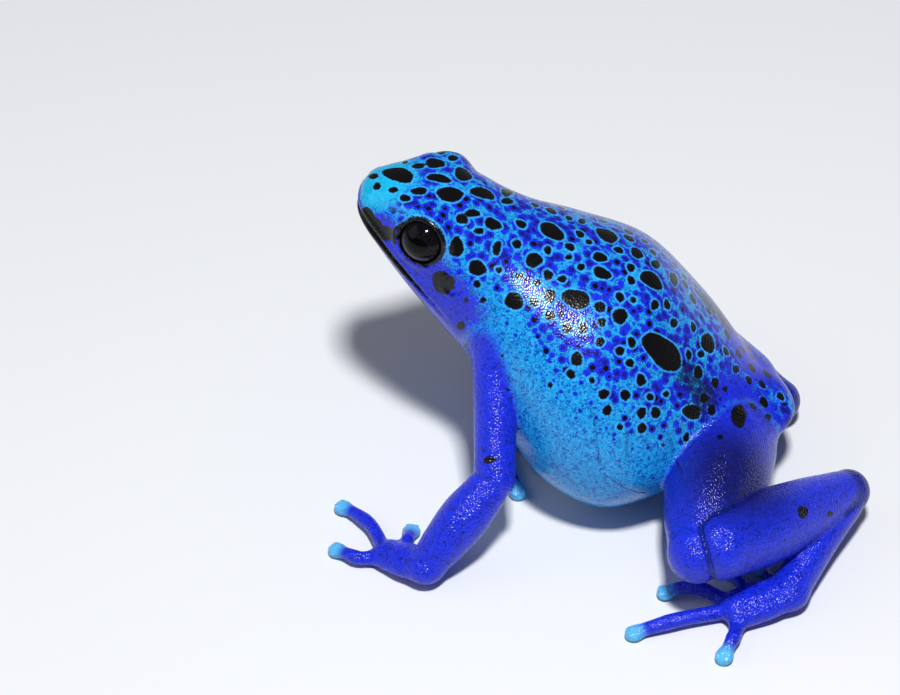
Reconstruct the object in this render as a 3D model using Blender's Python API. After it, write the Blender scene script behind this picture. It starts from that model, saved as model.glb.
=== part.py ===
"""Blue poison dart frog, life size, sitting with its head raised: a still model in separate named solids.

Every size below is in millimetres, and MM turns it into Blender's metres. The frog faces -X, its left side
is -Y, +Z is up, and the floor that it sits on is the plane z = 0. Each flesh piece is a lofted tube with
round ends. Tubes that meet end to end are parted by a thin flat cut, and a limb is cut clear of the trunk.
"""

import math
from collections import namedtuple

import bmesh
import bpy
from mathutils import Matrix, Vector

MM = 0.001
GAP = 0.3

# Where the finished frog's footprint is centred, measured in the modelling axes
CENTRE_X = 49.8
CENTRE_Y = -1.7

# Trunk and head, from the vent to the snout. x and z place the middle of each section on the mid-line,
# pitch tips it, and half_width, top and bottom are its reach to the side, to the back and to the belly.
# roof is how square its upper half is: 2 is round, less is a ridge and more is flat-topped.
Station = namedtuple("Station", "x z pitch half_width top bottom roof")
STATIONS = (
    Station(65.2, 6.2, 50.0, 3.6, 3.4, 3.2, 2.0),
    Station(62.4, 5.9, 48.0, 5.8, 4.4, 4.6, 1.9),
    Station(58.4, 6.2, 42.0, 8.8, 6.0, 6.8, 1.8),
    Station(53.0, 8.2, 30.0, 13.2, 9.2, 8.7, 1.75),
    Station(47.4, 12.0, 26.0, 13.5, 11.3, 9.6, 1.8),
    Station(42.4, 16.5, 24.0, 10.8, 8.9, 8.4, 1.95),
    Station(39.0, 19.8, 22.0, 8.2, 6.9, 7.0, 2.1),
    Station(36.5, 22.0, 22.0, 7.0, 6.0, 6.7, 2.2),
    Station(33.8, 24.2, 24.0, 6.2, 5.7, 5.9, 2.2),
    Station(31.1, 26.1, 26.0, 5.2, 4.8, 4.8, 2.2),
    Station(28.4, 27.7, 28.0, 4.0, 3.2, 3.4, 2.2),
    Station(25.8, 28.8, 28.0, 2.8, 1.6, 2.2, 2.1),
)
BODY_RINGS = 36
BODY_SIDES = 28
BELLY_SQUARENESS = 2.6
RUMP_ROUNDING = 4.0
SNOUT_ROUNDING = 3.0
NECK_STATION = 5.9

# Mouth: a groove along both sides of the head, below its widest line by this angle of each section
MOUTH_BELOW_SIDE = 22.0
MOUTH_FROM_STATION = 7.0
MOUTH_DEPTH = 0.4
MOUTH_HALF_ANGLE = 3.2

# Eyes, lids, eardrums and nostrils. BACK is from the tip of the snout, OUT to the side, UP from its axis
EYE_BACK = 7.7
EYE_OUT = 4.0
EYE_UP = 1.5
EYE_RADIUS = 2.35
EYE_TILT_UP = 18.0
EYE_TILT_FORWARD = 12.0
LID_RADII = (3.1, 2.95, 2.85)
LID_REACH = 1.2
BROW_RADII = (3.6, 2.2, 2.65)
BROW_OUT = 3.0
EARDRUM_BACK = 12.0
EARDRUM_OUT = 6.55
EARDRUM_UP = 0.6
EARDRUM_RADIUS = 1.1
EARDRUM_THICKNESS = 0.7
NOSTRIL_BACK = 1.6
NOSTRIL_OUT = 2.2
NOSTRIL_UP = -0.6
NOSTRIL_RADIUS = 0.4

SNOUT = Vector((25.4, 0.0, 30.4))
HEAD_PITCH = 36.0

LIMB_SIDES = 14
DIGIT_SIDES = 8

# Limb joints. Each limb lists its joints from the trunk outwards.
SHOULDER_LEFT = (39.4, -6.6, 18.4)
ELBOW_LEFT = (40.9, -14.9, 8.6)
WRIST_LEFT = (35.6, -20.6, 2.0)
KNUCKLES_LEFT = (32.0, -19.0, 1.1)

SHOULDER_RIGHT = (39.4, 6.6, 18.0)
ELBOW_RIGHT = (38.0, 12.0, 9.2)
WRIST_RIGHT = (38.0, 2.8, 2.0)
KNUCKLES_RIGHT = (38.8, -0.9, 1.1)

HIP_LEFT = (60.7, -5.4, 6.8)
KNEE_LEFT = (59.4, -19.6, 6.8)
HEEL_LEFT = (72.2, -5.8, 4.0)
ANKLE_LEFT = (68.4, -17.4, 1.9)
FOOT_LEFT = (64.6, -19.6, 1.3)

HIP_RIGHT = (59.8, 4.4, 4.8)
KNEE_RIGHT = (46.6, 15.0, 6.2)
HEEL_RIGHT = (64.2, 6.4, 2.7)
ANKLE_RIGHT = (55.0, 15.0, 1.8)
FOOT_RIGHT = (51.2, 17.0, 1.3)

UPPER_ARM_RADII = (2.3, 2.0, 1.9)
FOREARM_RADII = (1.9, 2.3, 2.1, 1.7)
PALM_RADII = (1.7, 1.9, 1.7)
THIGH_RADII = (4.7, 4.7, 4.1, 3.0)
SHANK_RADII = (3.1, 3.4, 2.9, 2.1)
TARSUS_RADII = (2.1, 1.8, 1.8)
FOOT_RADII = (1.8, 2.1, 2.1)
PALM_FLATNESS = 0.7
FOOT_FLATNESS = 0.7

# Digits: root, a point on the way and tip, then the radius at the root and at the disc
Digit = namedtuple("Digit", "name root way tip radius")
FINGERS_LEFT = (
    Digit("finger_left_1", (34.8, -18.4, 1.2), (35.6, -17.2, 1.1), (36.0, -15.8, 0.5), 0.6),
    Digit("finger_left_2", (32.9, -17.6, 1.2), (33.2, -16.6, 1.2), (33.2, -14.9, 0.5), 0.62),
    Digit("finger_left_3", (30.9, -17.6, 1.1), (29.0, -14.9, 1.2), (26.2, -13.2, 0.5), 0.64),
    Digit("finger_left_4", (30.4, -19.4, 1.1), (28.6, -19.7, 1.1), (26.8, -18.7, 0.5), 0.64),
)
FINGERS_RIGHT = (
    Digit("finger_right_1", (40.0, 0.2, 1.2), (41.2, 0.2, 1.1), (42.9, 0.0, 0.5), 0.6),
    Digit("finger_right_2", (40.2, -1.5, 1.2), (41.6, -2.5, 1.2), (43.4, -4.6, 0.5), 0.62),
    Digit("finger_right_3", (39.1, -2.6, 1.1), (40.2, -5.0, 1.2), (42.0, -8.4, 0.5), 0.64),
    Digit("finger_right_4", (37.5, -1.6, 1.1), (37.4, -3.5, 1.1), (38.1, -6.0, 0.5), 0.64),
)
TOES_LEFT = (
    Digit("toe_left_1", (66.9, -16.4, 1.3), (66.3, -15.2, 1.2), (65.6, -13.9, 0.5), 0.58),
    Digit("toe_left_2", (64.6, -17.4, 1.3), (63.9, -16.4, 1.3), (62.9, -14.9, 0.5), 0.62),
    Digit("toe_left_3", (62.6, -18.6, 1.2), (59.6, -17.9, 1.6), (57.2, -18.4, 0.5), 0.66),
    Digit("toe_left_4", (62.2, -20.4, 1.2), (58.6, -22.2, 1.3), (55.2, -24.0, 0.5), 0.7),
    Digit("toe_left_5", (64.4, -21.8, 1.2), (64.2, -23.6, 1.2), (63.7, -25.4, 0.5), 0.66),
)
TOES_RIGHT = (
    Digit("toe_right_1", (53.4, 14.6, 1.3), (52.4, 13.4, 1.2), (51.4, 12.2, 0.5), 0.58),
    Digit("toe_right_2", (50.6, 15.1, 1.3), (49.2, 14.2, 1.2), (47.4, 13.3, 0.5), 0.62),
    Digit("toe_right_3", (49.2, 16.8, 1.2), (46.4, 16.8, 1.3), (43.6, 16.8, 0.5), 0.66),
    Digit("toe_right_4", (49.4, 18.4, 1.2), (45.4, 19.8, 1.3), (40.8, 21.0, 0.5), 0.7),
    Digit("toe_right_5", (51.4, 19.2, 1.2), (49.6, 20.6, 1.2), (47.8, 22.0, 0.5), 0.66),
)
DISC_LENGTH = 1.5
DISC_RADIUS = 1.0
DIGIT_FLATNESS = 0.85

SKIN_COLOUR = (0.03, 0.05, 0.75)
FLANK_COLOUR = (0.04, 0.28, 0.85)
EYE_COLOUR = (0.006, 0.005, 0.005)


def clear_scene():
    """Removes whatever the scene holds before the frog is built."""
    for obj in list(bpy.data.objects):
        bpy.data.objects.remove(obj)


def finish_of(name, colour, roughness):
    """A plain surface finish in one colour."""
    material = bpy.data.materials.new(name)
    material.use_nodes = True
    shader = material.node_tree.nodes["Principled BSDF"]
    shader.inputs["Base Color"].default_value = (*colour, 1.0)
    shader.inputs["Roughness"].default_value = roughness
    shader.inputs["Metallic"].default_value = 0.0
    return material


def blend_through(values, place):
    """The smooth curve through evenly numbered values, read at a place such as 3.4."""
    last = len(values) - 1
    low = min(int(place), last - 1)
    share = place - low
    before = values[max(low - 1, 0)]
    start = values[low]
    end = values[low + 1]
    after = values[min(low + 2, last)]
    slope_in = 0.5 * (end - before)
    slope_out = 0.5 * (after - start)
    rise = end - start
    return (
        start
        + slope_in * share
        + (3 * rise - 2 * slope_in - slope_out) * share**2
        + (slope_in + slope_out - 2 * rise) * share**3
    )


def station_at(place):
    """The body section at a place counted in stations."""
    columns = zip(*STATIONS)
    return Station(*(blend_through(column, place) for column in columns))


def end_rounding(place):
    """How far a section shrinks as it nears the rump or the snout."""
    last = len(STATIONS) - 1
    from_rump = place * RUMP_ROUNDING_PER_STATION
    from_snout = (last - place) * SNOUT_ROUNDING_PER_STATION
    shrink = 1.0
    for reach, length in ((from_rump, RUMP_ROUNDING), (from_snout, SNOUT_ROUNDING)):
        if reach < length:
            shrink *= math.sqrt(max(1.0 - (1.0 - reach / length) ** 2, 0.0))
    return shrink


def station_spacing(first, second):
    """The distance between two stations' middles."""
    start = STATIONS[first]
    end = STATIONS[second]
    return math.hypot(end.x - start.x, end.z - start.z)


RUMP_ROUNDING_PER_STATION = station_spacing(0, 1)
SNOUT_ROUNDING_PER_STATION = station_spacing(-1, -2)


def mouth_lines():
    """The angles of the two mouth lines round a section, right side first."""
    return (360.0 - MOUTH_BELOW_SIDE, 180.0 + MOUTH_BELOW_SIDE)


def body_angles():
    """The angles of a section's points, closer together at the two mouth lines."""
    angles = []
    for i in range(BODY_SIDES):
        angle = i * 360.0 / BODY_SIDES
        if all(abs(angle - line) > 2.0 * MOUTH_HALF_ANGLE for line in mouth_lines()):
            angles.append(angle)
    for line in mouth_lines():
        angles += [line - MOUTH_HALF_ANGLE, line, line + MOUTH_HALF_ANGLE]
    return sorted(angles)


def body_ring(place, grow=0.0):
    """The points of one body section, and its middle."""
    section = station_at(place)
    shrink = end_rounding(place)
    pitch = math.radians(section.pitch)
    upward = Vector((math.sin(pitch), 0.0, math.cos(pitch)))
    sideways = Vector((0.0, 1.0, 0.0))
    middle = Vector((section.x, 0.0, section.z))
    points = []
    for angle in body_angles():
        across = math.cos(math.radians(angle))
        along = math.sin(math.radians(angle))
        squareness = section.roof if along >= 0 else BELLY_SQUARENESS
        height = section.top if along >= 0 else section.bottom
        power = 2.0 / squareness
        side = math.copysign(abs(across) ** power, across) * (section.half_width * shrink + grow)
        rise = math.copysign(abs(along) ** power, along) * (height * shrink + grow)
        at_mouth = angle in mouth_lines() and place >= MOUTH_FROM_STATION
        if at_mouth and grow == 0.0:
            depth = MOUTH_DEPTH * min(shrink * 1.5, place - MOUTH_FROM_STATION, 1.0)
            side -= math.copysign(depth, side)
        points.append(middle + sideways * side + upward * rise)
    return points, middle


def mesh_object(name, mesh_data, material=None):
    """A scene object that shows a bmesh, in metres and about the footprint's centre."""
    bmesh.ops.recalc_face_normals(mesh_data, faces=mesh_data.faces)
    move = Matrix.Translation((-CENTRE_X, -CENTRE_Y, 0.0))
    bmesh.ops.transform(mesh_data, matrix=Matrix.Scale(MM, 4) @ move, verts=mesh_data.verts)
    mesh = bpy.data.meshes.new(name)
    mesh_data.to_mesh(mesh)
    mesh_data.free()
    mesh.shade_smooth()
    mesh.set_sharp_from_angle(angle=math.radians(40))
    obj = bpy.data.objects.new(name, mesh)
    bpy.context.scene.collection.objects.link(obj)
    if material:
        mesh.materials.append(material)
    return obj


def skin_over(rings, start_tip, end_tip):
    """A closed bmesh over rings of points, closed by a fan at each end."""
    body = bmesh.new()
    rows = [[body.verts.new(point) for point in ring] for ring in rings]
    for lower, upper in zip(rows, rows[1:]):
        for i in range(len(lower)):
            j = (i + 1) % len(lower)
            body.faces.new((lower[i], lower[j], upper[j], upper[i]))
    for row, tip in ((rows[0], start_tip), (rows[-1], end_tip)):
        pole = body.verts.new(tip)
        for i in range(len(row)):
            body.faces.new((row[i], row[(i + 1) % len(row)], pole))
    return body


def cut_off(body, point, direction, keep_away=GAP / 2):
    """Removes what lies past a plane, and closes the cut with a flat face."""
    direction = direction.normalized()
    found = bmesh.ops.bisect_plane(
        body,
        geom=body.verts[:] + body.edges[:] + body.faces[:],
        plane_co=point - direction * keep_away,
        plane_no=direction,
        clear_outer=True,
    )
    rim = [e for e in found["geom_cut"] if isinstance(e, bmesh.types.BMEdge)]
    if rim:
        bmesh.ops.holes_fill(body, edges=rim)
    return body


def body_solid(grow=0.0, rings=BODY_RINGS):
    """The whole trunk and head as one closed bmesh."""
    last = len(STATIONS) - 1
    places = []
    for i in range(rings):
        even = (i + 0.5) / rings
        places.append(last * (even - 0.12 * math.sin(2 * math.pi * even) / math.pi))
    made = [body_ring(place, grow) for place in places]
    rump = body_ring(0.0, 0.0)[1] + Vector((grow, 0.0, -grow))
    snout = body_ring(last, 0.0)[1] + Vector((-grow, 0.0, 0.0))
    return skin_over([ring for ring, _ in made], rump, snout)


def path_point(path, share):
    """A point on the smooth curve through a path's points."""
    place = share * (len(path) - 1)
    return Vector([blend_through([p[k] for p in path], place) for k in range(3)])


def round_end(row, way, count):
    """Rows that continue a tube's last row into a half ball. way is 1 onwards and -1 backwards."""
    centre, ahead, width = row
    made = []
    for k in range(count):
        angle = math.radians(90.0 * (k + 1) / (count + 1))
        made.append((centre + ahead * way * width * math.sin(angle), ahead, width * math.cos(angle)))
    return made


def tube(path, radii, flatness=1.0, sides=LIMB_SIDES, steps=9, end_rows=3, grow=0.0):
    """A closed tube with round ends along a path.

    radii are evenly spaced along it. flatness is the tube's height over its width.
    """
    centres = [path_point(path, i / (steps - 1)) for i in range(steps)]
    widths = [blend_through(radii, i / (steps - 1) * (len(radii) - 1)) for i in range(steps)]
    rows = []
    for i, (centre, width) in enumerate(zip(centres, widths)):
        ahead = (centres[min(i + 1, steps - 1)] - centres[max(i - 1, 0)]).normalized()
        rows.append((centre, ahead, width))
    first = round_end(rows[0], -1, end_rows)
    final = round_end(rows[-1], 1, end_rows)
    start_tip = rows[0][0] - rows[0][1] * (rows[0][2] + grow)
    end_tip = rows[-1][0] + rows[-1][1] * (rows[-1][2] + grow)
    rings = []
    for centre, ahead, width in first[::-1] + rows + final:
        level = Vector((0.0, 0.0, 1.0))
        if abs(ahead.z) > 0.9:
            level = Vector((1.0, 0.0, 0.0))
        sideways = ahead.cross(level).normalized()
        upward = sideways.cross(ahead).normalized()
        ring = []
        for k in range(sides):
            turn = 2 * math.pi * (k + 0.5) / sides
            ring.append(
                centre
                + sideways * (width + grow) * math.cos(turn)
                + upward * (width * flatness + grow) * math.sin(turn)
            )
        rings.append(ring)
    return skin_over(rings, start_tip, end_tip)


def rest_on_floor(body):
    """Presses flat, at floor level, whatever reaches below the floor."""
    for vert in body.verts:
        vert.co.z = max(vert.co.z, 0.0)
    return body


def hide(cutter):
    """Keeps a cutting shape out of the model."""
    cutter.hide_render = True
    cutter.display_type = "WIRE"
    return cutter


def carve(obj, cutter, operation="DIFFERENCE"):
    """Adds a Boolean of one object by another."""
    modifier = obj.modifiers.new(cutter.name, "BOOLEAN")
    modifier.operation = operation
    modifier.solver = "EXACT"
    modifier.object = cutter


def parting_plane(joint, toward_parent, toward_child):
    """The plane through a joint that halves its bend: a point and a direction into the child."""
    first = (Vector(toward_parent) - Vector(joint)).normalized()
    second = (Vector(toward_child) - Vector(joint)).normalized()
    return Vector(joint), (second - first).normalized()


def head_point(back, out, up):
    """A point given in head axes, moved into the modelling axes."""
    pitch = math.radians(HEAD_PITCH)
    backward = Vector((math.cos(pitch), 0.0, -math.sin(pitch)))
    upward = Vector((math.sin(pitch), 0.0, math.cos(pitch)))
    return SNOUT + backward * back + upward * up + Vector((0.0, out, 0.0))


def eye_axis(side):
    """The direction in which an eye looks."""
    tilt = math.radians(EYE_TILT_UP)
    forward = math.radians(EYE_TILT_FORWARD)
    return Vector((-math.sin(forward), side * math.cos(forward), math.tan(tilt))).normalized()


def ball(point, radius, rows=16):
    """A round ball as a bmesh."""
    made = bmesh.new()
    bmesh.ops.create_uvsphere(
        made, u_segments=rows + 4, v_segments=rows // 2 + 3, radius=radius, matrix=Matrix.Translation(point)
    )
    return made


def build_head(skin):
    """The head with its lids, sockets, mouth line, eardrum seats and nostrils."""
    point, direction = neck_plane()
    head = mesh_object("head", cut_off(body_solid(), point, -direction), skin)
    for side, label in ((-1, "left"), (1, "right")):
        brow = bmesh.new()
        stretch = Matrix.Diagonal((*BROW_RADII, 1.0))
        place = Matrix.Translation(head_point(EYE_BACK, side * BROW_OUT, EYE_UP))
        bmesh.ops.create_uvsphere(brow, u_segments=20, v_segments=12, radius=1.0, matrix=place @ stretch)
        carve(head, hide(mesh_object("shape_brow_" + label, brow)), "UNION")
        carve(head, hide(mesh_object("shape_lid_" + label, lid_shell(side))), "UNION")
    for side, label in ((-1, "left"), (1, "right")):
        centre = head_point(EYE_BACK, side * EYE_OUT, EYE_UP)
        carve(head, hide(mesh_object("cut_socket_" + label, ball(centre, EYE_RADIUS + GAP))))
        drum = eardrum_shape(side, EARDRUM_RADIUS + GAP, EARDRUM_THICKNESS + GAP, GAP)
        carve(head, hide(mesh_object("cut_eardrum_" + label, drum)))
        nostril = ball(head_point(NOSTRIL_BACK, side * NOSTRIL_OUT, NOSTRIL_UP), NOSTRIL_RADIUS, 8)
        carve(head, hide(mesh_object("cut_nostril_" + label, nostril)))
    return head


def lid_shell(side):
    """The skin of both lids of one eye, cut flat where the eye looks out."""
    look = eye_axis(side)
    centre = head_point(EYE_BACK, side * EYE_OUT, EYE_UP)
    pitch = Matrix.Rotation(math.radians(HEAD_PITCH), 4, "Y")
    shell = bmesh.new()
    place = Matrix.Translation(centre) @ pitch @ Matrix.Diagonal((*LID_RADII, 1.0))
    bmesh.ops.create_uvsphere(shell, u_segments=28, v_segments=18, radius=1.0, matrix=place)
    return cut_off(shell, centre + look * LID_REACH, look, keep_away=0.0)


def eardrum_shape(side, radius, depth, lift):
    """A short round plug that faces out of the side of the head."""
    outward = Vector((-0.16, side, 0.12)).normalized()
    seat = head_point(EARDRUM_BACK, side * EARDRUM_OUT, EARDRUM_UP)
    facing = outward.to_track_quat("Z", "Y").to_matrix().to_4x4()
    centre = Matrix.Translation(seat + outward * (lift - depth / 2)) @ facing
    drum = bmesh.new()
    bmesh.ops.create_cone(
        drum, cap_ends=True, segments=18, radius1=radius, radius2=radius, depth=depth, matrix=centre
    )
    return drum


def neck_plane():
    """A point at the neck and the direction along the body towards the head."""
    section = station_at(NECK_STATION)
    pitch = math.radians(section.pitch)
    return Vector((section.x, 0.0, section.z)), Vector((-math.cos(pitch), 0.0, math.sin(pitch)))


def build_limb_piece(name, path, radii, cuts, skin, trunk=None, flatness=1.0, steps=9):
    """One length of a limb, cut flat at its joints and kept clear of the trunk."""
    piece = tube(path, radii, flatness=flatness, steps=steps)
    for point, direction in cuts:
        cut_off(piece, point, direction)
    obj = mesh_object(name, rest_on_floor(piece), skin)
    if trunk:
        carve(obj, trunk)
    return obj


def build_digit(digit, skin, palm):
    """One finger or toe with its disc, cut clear of the palm or sole."""
    root = Vector(digit.root)
    tip = Vector(digit.tip)
    ahead = (tip - Vector(digit.way)).normalized()
    neck = tip - ahead * DISC_LENGTH
    bend = root.lerp(neck, 0.5) + (Vector(digit.way) - root.lerp(tip, 0.5)) * 0.6
    path = (root, bend, neck, tip)
    slim = digit.radius
    radii = (slim, slim * 0.95, slim * 0.9, slim * 0.9, DISC_RADIUS, DISC_RADIUS * 0.8)
    finger = tube(path, radii, flatness=DIGIT_FLATNESS, sides=DIGIT_SIDES, steps=9, end_rows=2)
    obj = mesh_object(digit.name, rest_on_floor(finger), skin)
    carve(obj, palm)
    return obj


def build_arm(side, joints, fingers, skin, trunk):
    """Upper arm, forearm, hand and fingers of one side."""
    shoulder, elbow, wrist, knuckles = (Vector(joint) for joint in joints)
    bend, into_forearm = parting_plane(elbow, shoulder, wrist)
    turn, into_hand = parting_plane(wrist, elbow, knuckles)
    build_limb_piece(
        "upper_arm_" + side, (shoulder, elbow), UPPER_ARM_RADII, [(bend, into_forearm)], skin, trunk
    )
    cuts = [(bend, -into_forearm), (turn, into_hand)]
    build_limb_piece("forearm_" + side, (elbow, wrist), FOREARM_RADII, cuts, skin)
    cuts = [(turn, -into_hand)]
    build_limb_piece(
        "hand_" + side, (wrist, knuckles), PALM_RADII, cuts, skin, flatness=PALM_FLATNESS, steps=6
    )
    palm = tube((wrist, knuckles), PALM_RADII, flatness=PALM_FLATNESS, steps=6, grow=GAP)
    cutter = hide(mesh_object("cut_palm_" + side, palm))
    for digit in fingers:
        build_digit(digit, skin, cutter)


def build_leg(side, joints, toes, skin, trunk):
    """Thigh, shank, tarsus, foot and toes of one side."""
    hip, knee, heel, ankle, foot = (Vector(joint) for joint in joints)
    fold, into_shank = parting_plane(knee, hip, heel)
    hock, into_tarsus = parting_plane(heel, knee, ankle)
    turn, into_foot = parting_plane(ankle, heel, foot)
    build_limb_piece("thigh_" + side, (hip, knee), THIGH_RADII, [(fold, into_shank)], skin, trunk)
    cuts = [(fold, -into_shank), (hock, into_tarsus)]
    build_limb_piece("shank_" + side, (knee, heel), SHANK_RADII, cuts, skin, trunk)
    cuts = [(hock, -into_tarsus), (turn, into_foot)]
    build_limb_piece("tarsus_" + side, (heel, ankle), TARSUS_RADII, cuts, skin)
    cuts = [(turn, -into_foot)]
    build_limb_piece(
        "foot_" + side, (ankle, foot), FOOT_RADII, cuts, skin, flatness=FOOT_FLATNESS, steps=6
    )
    sole = tube((ankle, foot), FOOT_RADII, flatness=FOOT_FLATNESS, steps=6, grow=GAP)
    cutter = hide(mesh_object("cut_sole_" + side, sole))
    for digit in toes:
        build_digit(digit, skin, cutter)


def main():
    """Builds the whole frog."""
    clear_scene()
    skin = finish_of("limb_skin", SKIN_COLOUR, 0.35)
    flank = finish_of("body_skin", FLANK_COLOUR, 0.4)
    dark = finish_of("eye", EYE_COLOUR, 0.05)
    point, direction = neck_plane()
    build_head(flank)
    mesh_object("torso", rest_on_floor(cut_off(body_solid(), point, direction)), flank)
    trunk = hide(mesh_object("cut_trunk", body_solid(grow=GAP)))
    for side, label in ((-1, "left"), (1, "right")):
        centre = head_point(EYE_BACK, side * EYE_OUT, EYE_UP)
        mesh_object("eye_" + label, ball(centre, EYE_RADIUS), dark)
        mesh_object("eardrum_" + label, eardrum_shape(side, EARDRUM_RADIUS, EARDRUM_THICKNESS, 0.0), flank)
    build_arm(
        "left", (SHOULDER_LEFT, ELBOW_LEFT, WRIST_LEFT, KNUCKLES_LEFT), FINGERS_LEFT, skin, trunk
    )
    build_arm(
        "right", (SHOULDER_RIGHT, ELBOW_RIGHT, WRIST_RIGHT, KNUCKLES_RIGHT), FINGERS_RIGHT, skin, trunk
    )
    build_leg(
        "left", (HIP_LEFT, KNEE_LEFT, HEEL_LEFT, ANKLE_LEFT, FOOT_LEFT), TOES_LEFT, skin, trunk
    )
    build_leg(
        "right", (HIP_RIGHT, KNEE_RIGHT, HEEL_RIGHT, ANKLE_RIGHT, FOOT_RIGHT), TOES_RIGHT, skin, trunk
    )


main()
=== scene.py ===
"""Looks of a life-size poison dart frog model.

One unbroken skin stands for all the solids of flesh, and two wet eyes, the paired scutes of the
toe discs, a pale floor, soft light and the camera are added to it. Shapes are worked out in the
millimetres of the solids' modelling axes, and moved into the frame's metres at the end.
"""

import logging
import math
from collections.abc import Callable, Sequence
from dataclasses import dataclass
from enum import Enum
from itertools import product

import bpy
import numpy as np
from mathutils import Matrix, Vector
from mathutils.bvhtree import BVHTree


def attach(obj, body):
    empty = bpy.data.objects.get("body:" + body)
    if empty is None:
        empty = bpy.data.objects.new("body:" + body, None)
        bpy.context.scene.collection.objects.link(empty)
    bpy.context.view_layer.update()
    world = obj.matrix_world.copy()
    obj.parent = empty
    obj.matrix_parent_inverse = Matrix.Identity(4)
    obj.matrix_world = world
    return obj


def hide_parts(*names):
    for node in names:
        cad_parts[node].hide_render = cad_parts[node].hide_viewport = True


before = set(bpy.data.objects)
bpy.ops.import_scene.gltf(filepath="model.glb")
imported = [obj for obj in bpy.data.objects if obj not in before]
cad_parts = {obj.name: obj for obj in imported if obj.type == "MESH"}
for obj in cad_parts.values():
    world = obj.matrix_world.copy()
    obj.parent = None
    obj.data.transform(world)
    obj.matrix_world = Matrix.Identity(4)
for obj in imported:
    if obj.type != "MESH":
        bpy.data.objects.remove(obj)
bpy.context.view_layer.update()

LOG = logging.getLogger("frog")
MM = 0.001
# The modelling axes' point, in mm, that lies at the frame's origin.
CENTRE_X = 49.8
CENTRE_Y = -1.7
# Distances past this many mm are all taken as this.
FAR = 6.0
CORNERS = tuple(product((0, 1), repeat=3))

Point = tuple[float, float, float]
Swell = tuple[float, float, float]
Pixel = tuple[float, float]
Pair = tuple[np.ndarray, np.ndarray]
Colour = tuple[float, float, float, float]
Field = Callable[[np.ndarray], np.ndarray]


def ramp(value: np.ndarray, start: float, end: float) -> np.ndarray:
    """A smooth step from 0 at start to 1 at end."""
    share = np.clip((value - start) / (end - start), 0.0, 1.0)
    return share * share * (3.0 - 2.0 * share)


def hill(value: np.ndarray, centre: float, width: float) -> np.ndarray:
    """A smooth hill of height 1 at centre."""
    return np.exp(-(((value - centre) / width) ** 2))


def swell(value: np.ndarray, form: Swell) -> np.ndarray:
    """A smooth hill given as its height, centre and width."""
    height, centre, width = form
    return height * hill(value, centre, width)


def length_of(ways: np.ndarray) -> np.ndarray:
    """The length of each row."""
    return np.linalg.norm(ways, axis=1)


def soft_union(first: np.ndarray, second: np.ndarray, reach: np.ndarray | float) -> np.ndarray:
    """Joins two distance fields with a fillet.

    Args:
        first: Distances to one form.
        second: Distances to the other form.
        reach: How far the fillet reaches, in mm.

    Returns:
        Distances to both forms and the fillet between them.
    """
    overlap = np.clip(reach - np.abs(first - second), 0.0, None)
    return np.minimum(first, second) - overlap * overlap / (4.0 * reach)


def soft_cut(body: np.ndarray, cutter: np.ndarray, reach: float) -> np.ndarray:
    """Takes one form out of another and rounds the edge."""
    return -soft_union(-body, cutter, reach)


def curve_through(values: Sequence[float], place: np.ndarray) -> np.ndarray:
    """The smooth curve through evenly numbered values.

    Args:
        values: The values at places 0, 1, 2 and so on.
        place: Where the curve is read.

    Returns:
        The curve at each place.
    """
    row = np.asarray(values, float)
    last = len(row) - 1
    low = np.clip(place.astype(int), 0, last - 1)
    share = place - low
    start, end = row[low], row[low + 1]
    slope_in = 0.5 * (end - row[np.maximum(low - 1, 0)])
    slope_out = 0.5 * (row[np.minimum(low + 2, last)] - start)
    rise = end - start
    return (
        start
        + slope_in * share
        + (3 * rise - 2 * slope_in - slope_out) * share**2
        + (slope_in + slope_out - 2 * rise) * share**3
    )


def ellipsoid(away: np.ndarray, radii: Point) -> np.ndarray:
    """Distances to an ellipsoid about the origin.

    Args:
        away: Points in the ellipsoid's own axes.
        radii: Its three half sizes.

    Returns:
        Distances that are right near its surface.
    """
    scaled = away / np.array(radii)
    size = length_of(scaled)
    slope = length_of(scaled / np.array(radii))
    return size * (size - 1.0) / np.maximum(slope, 1e-6)


def from_line(points: np.ndarray, start: np.ndarray, end: np.ndarray) -> Pair:
    """Each point's share of the way along a line, and its offset from the line there."""
    way = end - start
    share = np.clip((points - start) @ way / (way @ way), 0.0, 1.0)
    return share, points - start - share[:, None] * way


def window(block: np.ndarray, corner: tuple[int, ...], shape: tuple[int, ...]) -> np.ndarray:
    """The view of a block of numbers that starts at a corner and has a given shape."""
    return block[tuple(slice(low, low + size) for low, size in zip(corner, shape))]


def to_frame(points: np.ndarray) -> np.ndarray:
    """Points of the modelling axes, in the frame's metres."""
    return (points - np.array([CENTRE_X, CENTRE_Y, 0.0])) * MM


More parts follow.
